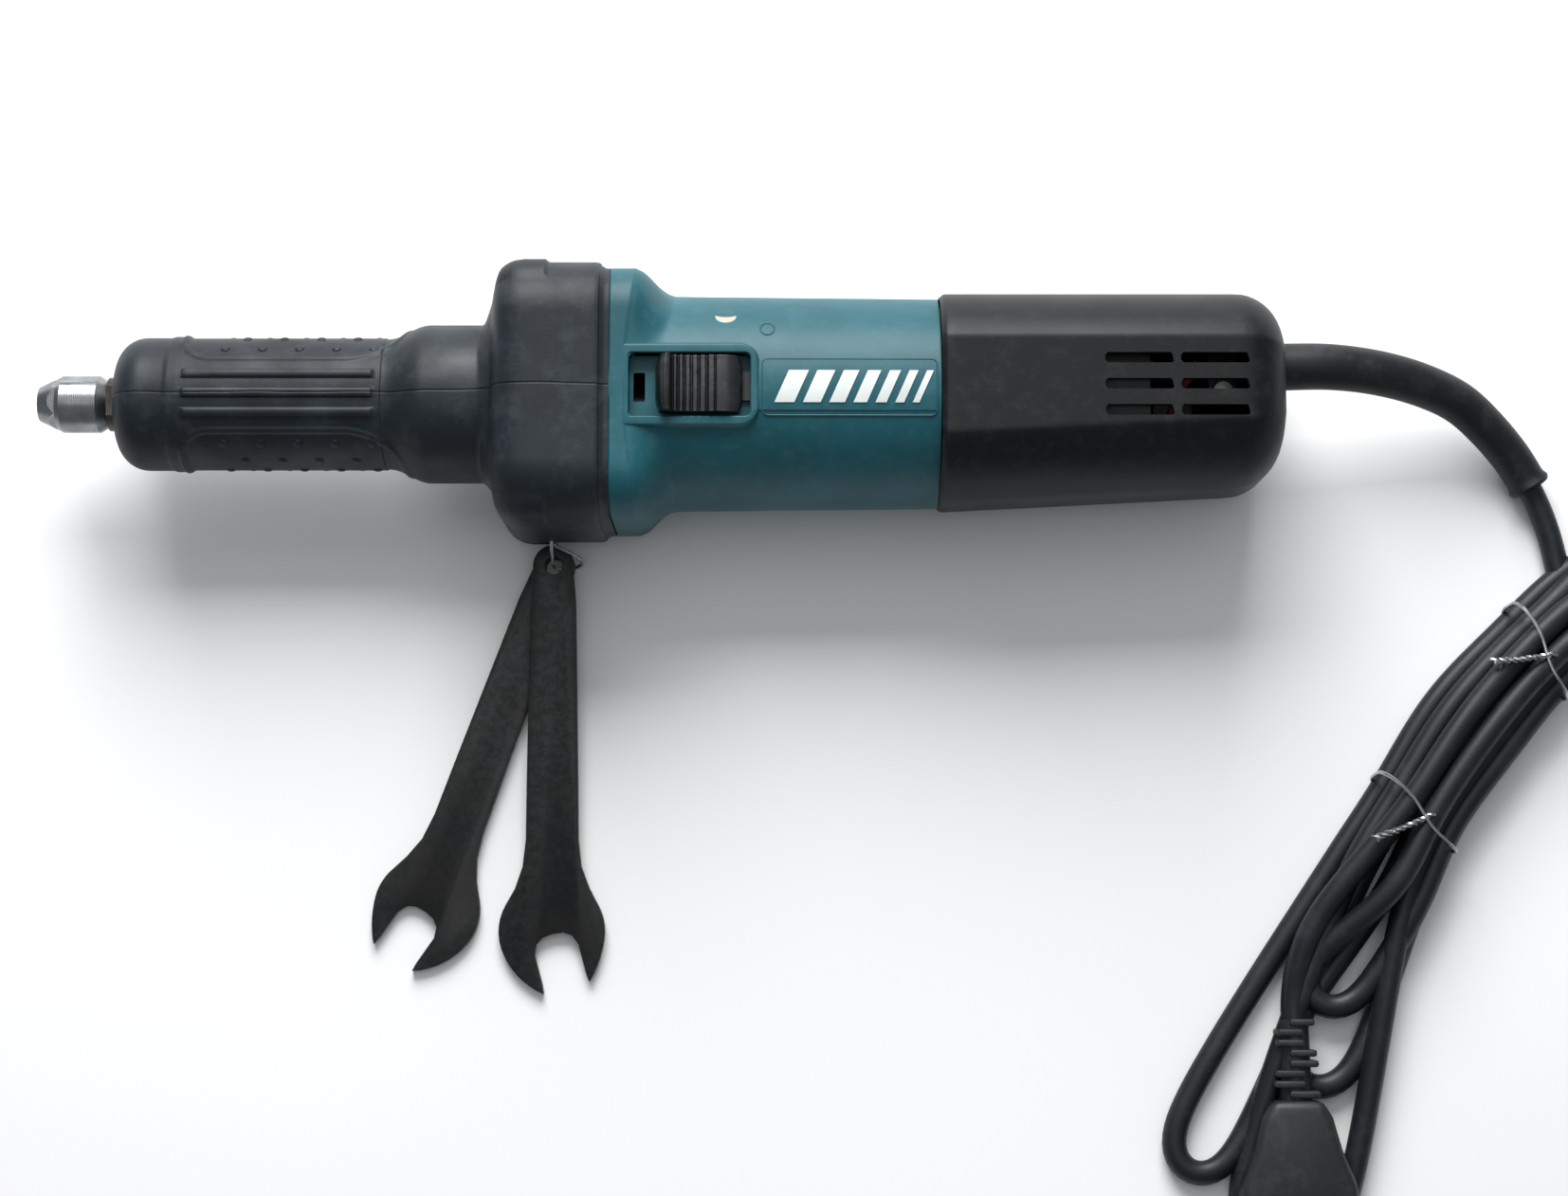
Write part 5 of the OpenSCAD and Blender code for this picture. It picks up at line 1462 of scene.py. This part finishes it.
@dataclass
class Studio:
    """The floor, the soft lights and the camera. Metres."""

    centre: Point = (0.2157, -0.0565, 0.0)
    distance: float = 0.870
    tilt_deg: float = 7.0
    lens_mm: float = 69.45

    def build_camera(self) -> None:
        """Stands the camera almost straight above the tool, tipped a little towards its near side."""
        data = bpy.data.cameras.new("camera")
        data.lens, data.sensor_width, data.clip_end = self.lens_mm, 36.0, 20.0
        camera = bpy.data.objects.new("camera", data)
        tilt = math.radians(self.tilt_deg)
        camera.location = Vector(self.centre) + self.distance * Vector((0, -math.sin(tilt), math.cos(tilt)))
        camera.rotation_euler = (tilt, 0, 0)
        bpy.context.scene.collection.objects.link(camera)
        bpy.context.scene.camera = camera

    def add_light(self, name: str, place: Point, aim: Point, size: float, watts: float) -> None:
        """Adds one soft square light that faces a point."""
        data = bpy.data.lights.new(name, "AREA")
        data.shape, data.size, data.energy = "SQUARE", size, watts
        lamp = bpy.data.objects.new(name, data)
        lamp.location = place
        lamp.rotation_euler = (Vector(aim) - Vector(place)).to_track_quat("-Z", "Y").to_euler()
        bpy.context.scene.collection.objects.link(lamp)

    def build_lights(self) -> None:
        """Lights the tool softly, mostly from its far side, as a window does."""
        target = (0.2, -0.05, 0.0)
        self.add_light("window", (0.12, 0.95, 0.7), target, 0.8, 27.0)
        self.add_light("ceiling", (0.25, 0.25, 1.5), target, 1.2, 4.5)
        world = bpy.data.worlds.new("studio")
        world.use_nodes = True
        world.node_tree.nodes["Background"].inputs["Color"].default_value = (0.9, 0.95, 1.0, 1.0)
        world.node_tree.nodes["Background"].inputs["Strength"].default_value = 0.26
        bpy.context.scene.world = world
        bpy.context.scene.view_settings.view_transform = "Standard"

    def build_floor(self) -> None:
        """Lays a plain pale floor under the tool."""
        bm = bmesh.new()
        bmesh.ops.create_grid(
            bm, x_segments=1, y_segments=1, size=6.0, matrix=Matrix.Translation((0, 0, FLOOR_Z))
        )
        mesh = bpy.data.meshes.new("floor")
        bm.to_mesh(mesh)
        bm.free()
        floor = bpy.data.objects.new("floor", mesh)
        bpy.context.scene.collection.objects.link(floor)
        paint = bpy.data.materials.new("pale_floor")
        paint.use_nodes = True
        shader = paint.node_tree.nodes["Principled BSDF"]
        shader.inputs["Base Color"].default_value = (0.9, 0.9, 0.9, 1.0)
        shader.inputs["Roughness"].default_value = 0.9
        mesh.materials.append(paint)

    def build(self) -> None:
        """Builds the floor and the lights. The camera is built first of all."""
        self.build_lights()
        self.build_floor()


BEARINGS = ("front_bearing", "mid_bearing", "motor_front_bearing", "motor_rear_bearing")
INSIDE_FINISHES: tuple[tuple[Finish, tuple[str, ...]], ...] = (
    (BRIGHT, ("collet_nut",)),
    (GROUND, ("collet", "motor_shaft")),
    (OILED, ("spindle",)),
    (BEARING, tuple(f"{place}_{ring}" for place in BEARINGS for ring in ("outer", "inner"))),
    (BALLS, tuple(f"{place}_balls" for place in BEARINGS)),
    (SPRING, ("wave_washer", "mid_bearing_circlip", "brush_spring_left", "brush_spring_right")),
    (GROUND, ("bearing_retainer", "coupling_sleeve")),
    (CASTING, ("nose_housing",)),
    (LAMINATIONS, ("armature_core", "field_core")),
    (COPPER, ("armature_windings", "field_coils")),
    (SEGMENTS, ("commutator",)),
    (INNER, ("cooling_fan", "baffle_plate")),
    (PLUG, ("rear_bearing_sleeve", "switch_body", "cord_strap", "terminal_block")),
    (SCREWS, ("flange_screws", "field_screws", "cover_screws", "strap_screws")),
    (BRASS, ("brush_holders",)),
    (CARBON, ("brush_left", "brush_right")),
    (PLUG, ("switch_slider",)),
    (SWITCH_RED, ("switch_lever",)),
    (CAPACITOR, ("suppressor",)),
    (LEADS, ("internal_leads",)),
    (BLACKED, ("spanner_upper", "spanner_lower")),
    (TIE, ("tether_wire",)),
    (TEAL, ("front_badge",)),
    (PLATE, ("rating_plate",)),
)


def main() -> None:
    """Builds every sub-assembly in order."""
    logging.basicConfig(level=logging.INFO, format="%(message)s")
    studio = Studio()
    studio.build_camera()
    SupplyCord().build()
    for finish, names in INSIDE_FINISHES:
        dress(finish, *names)
    for assembly in (Nose(), MotorBody(), SwitchKnob(), RearEnd(), Spanners()):
        assembly.build()
    studio.build()


if __name__ == "__main__":
    main()
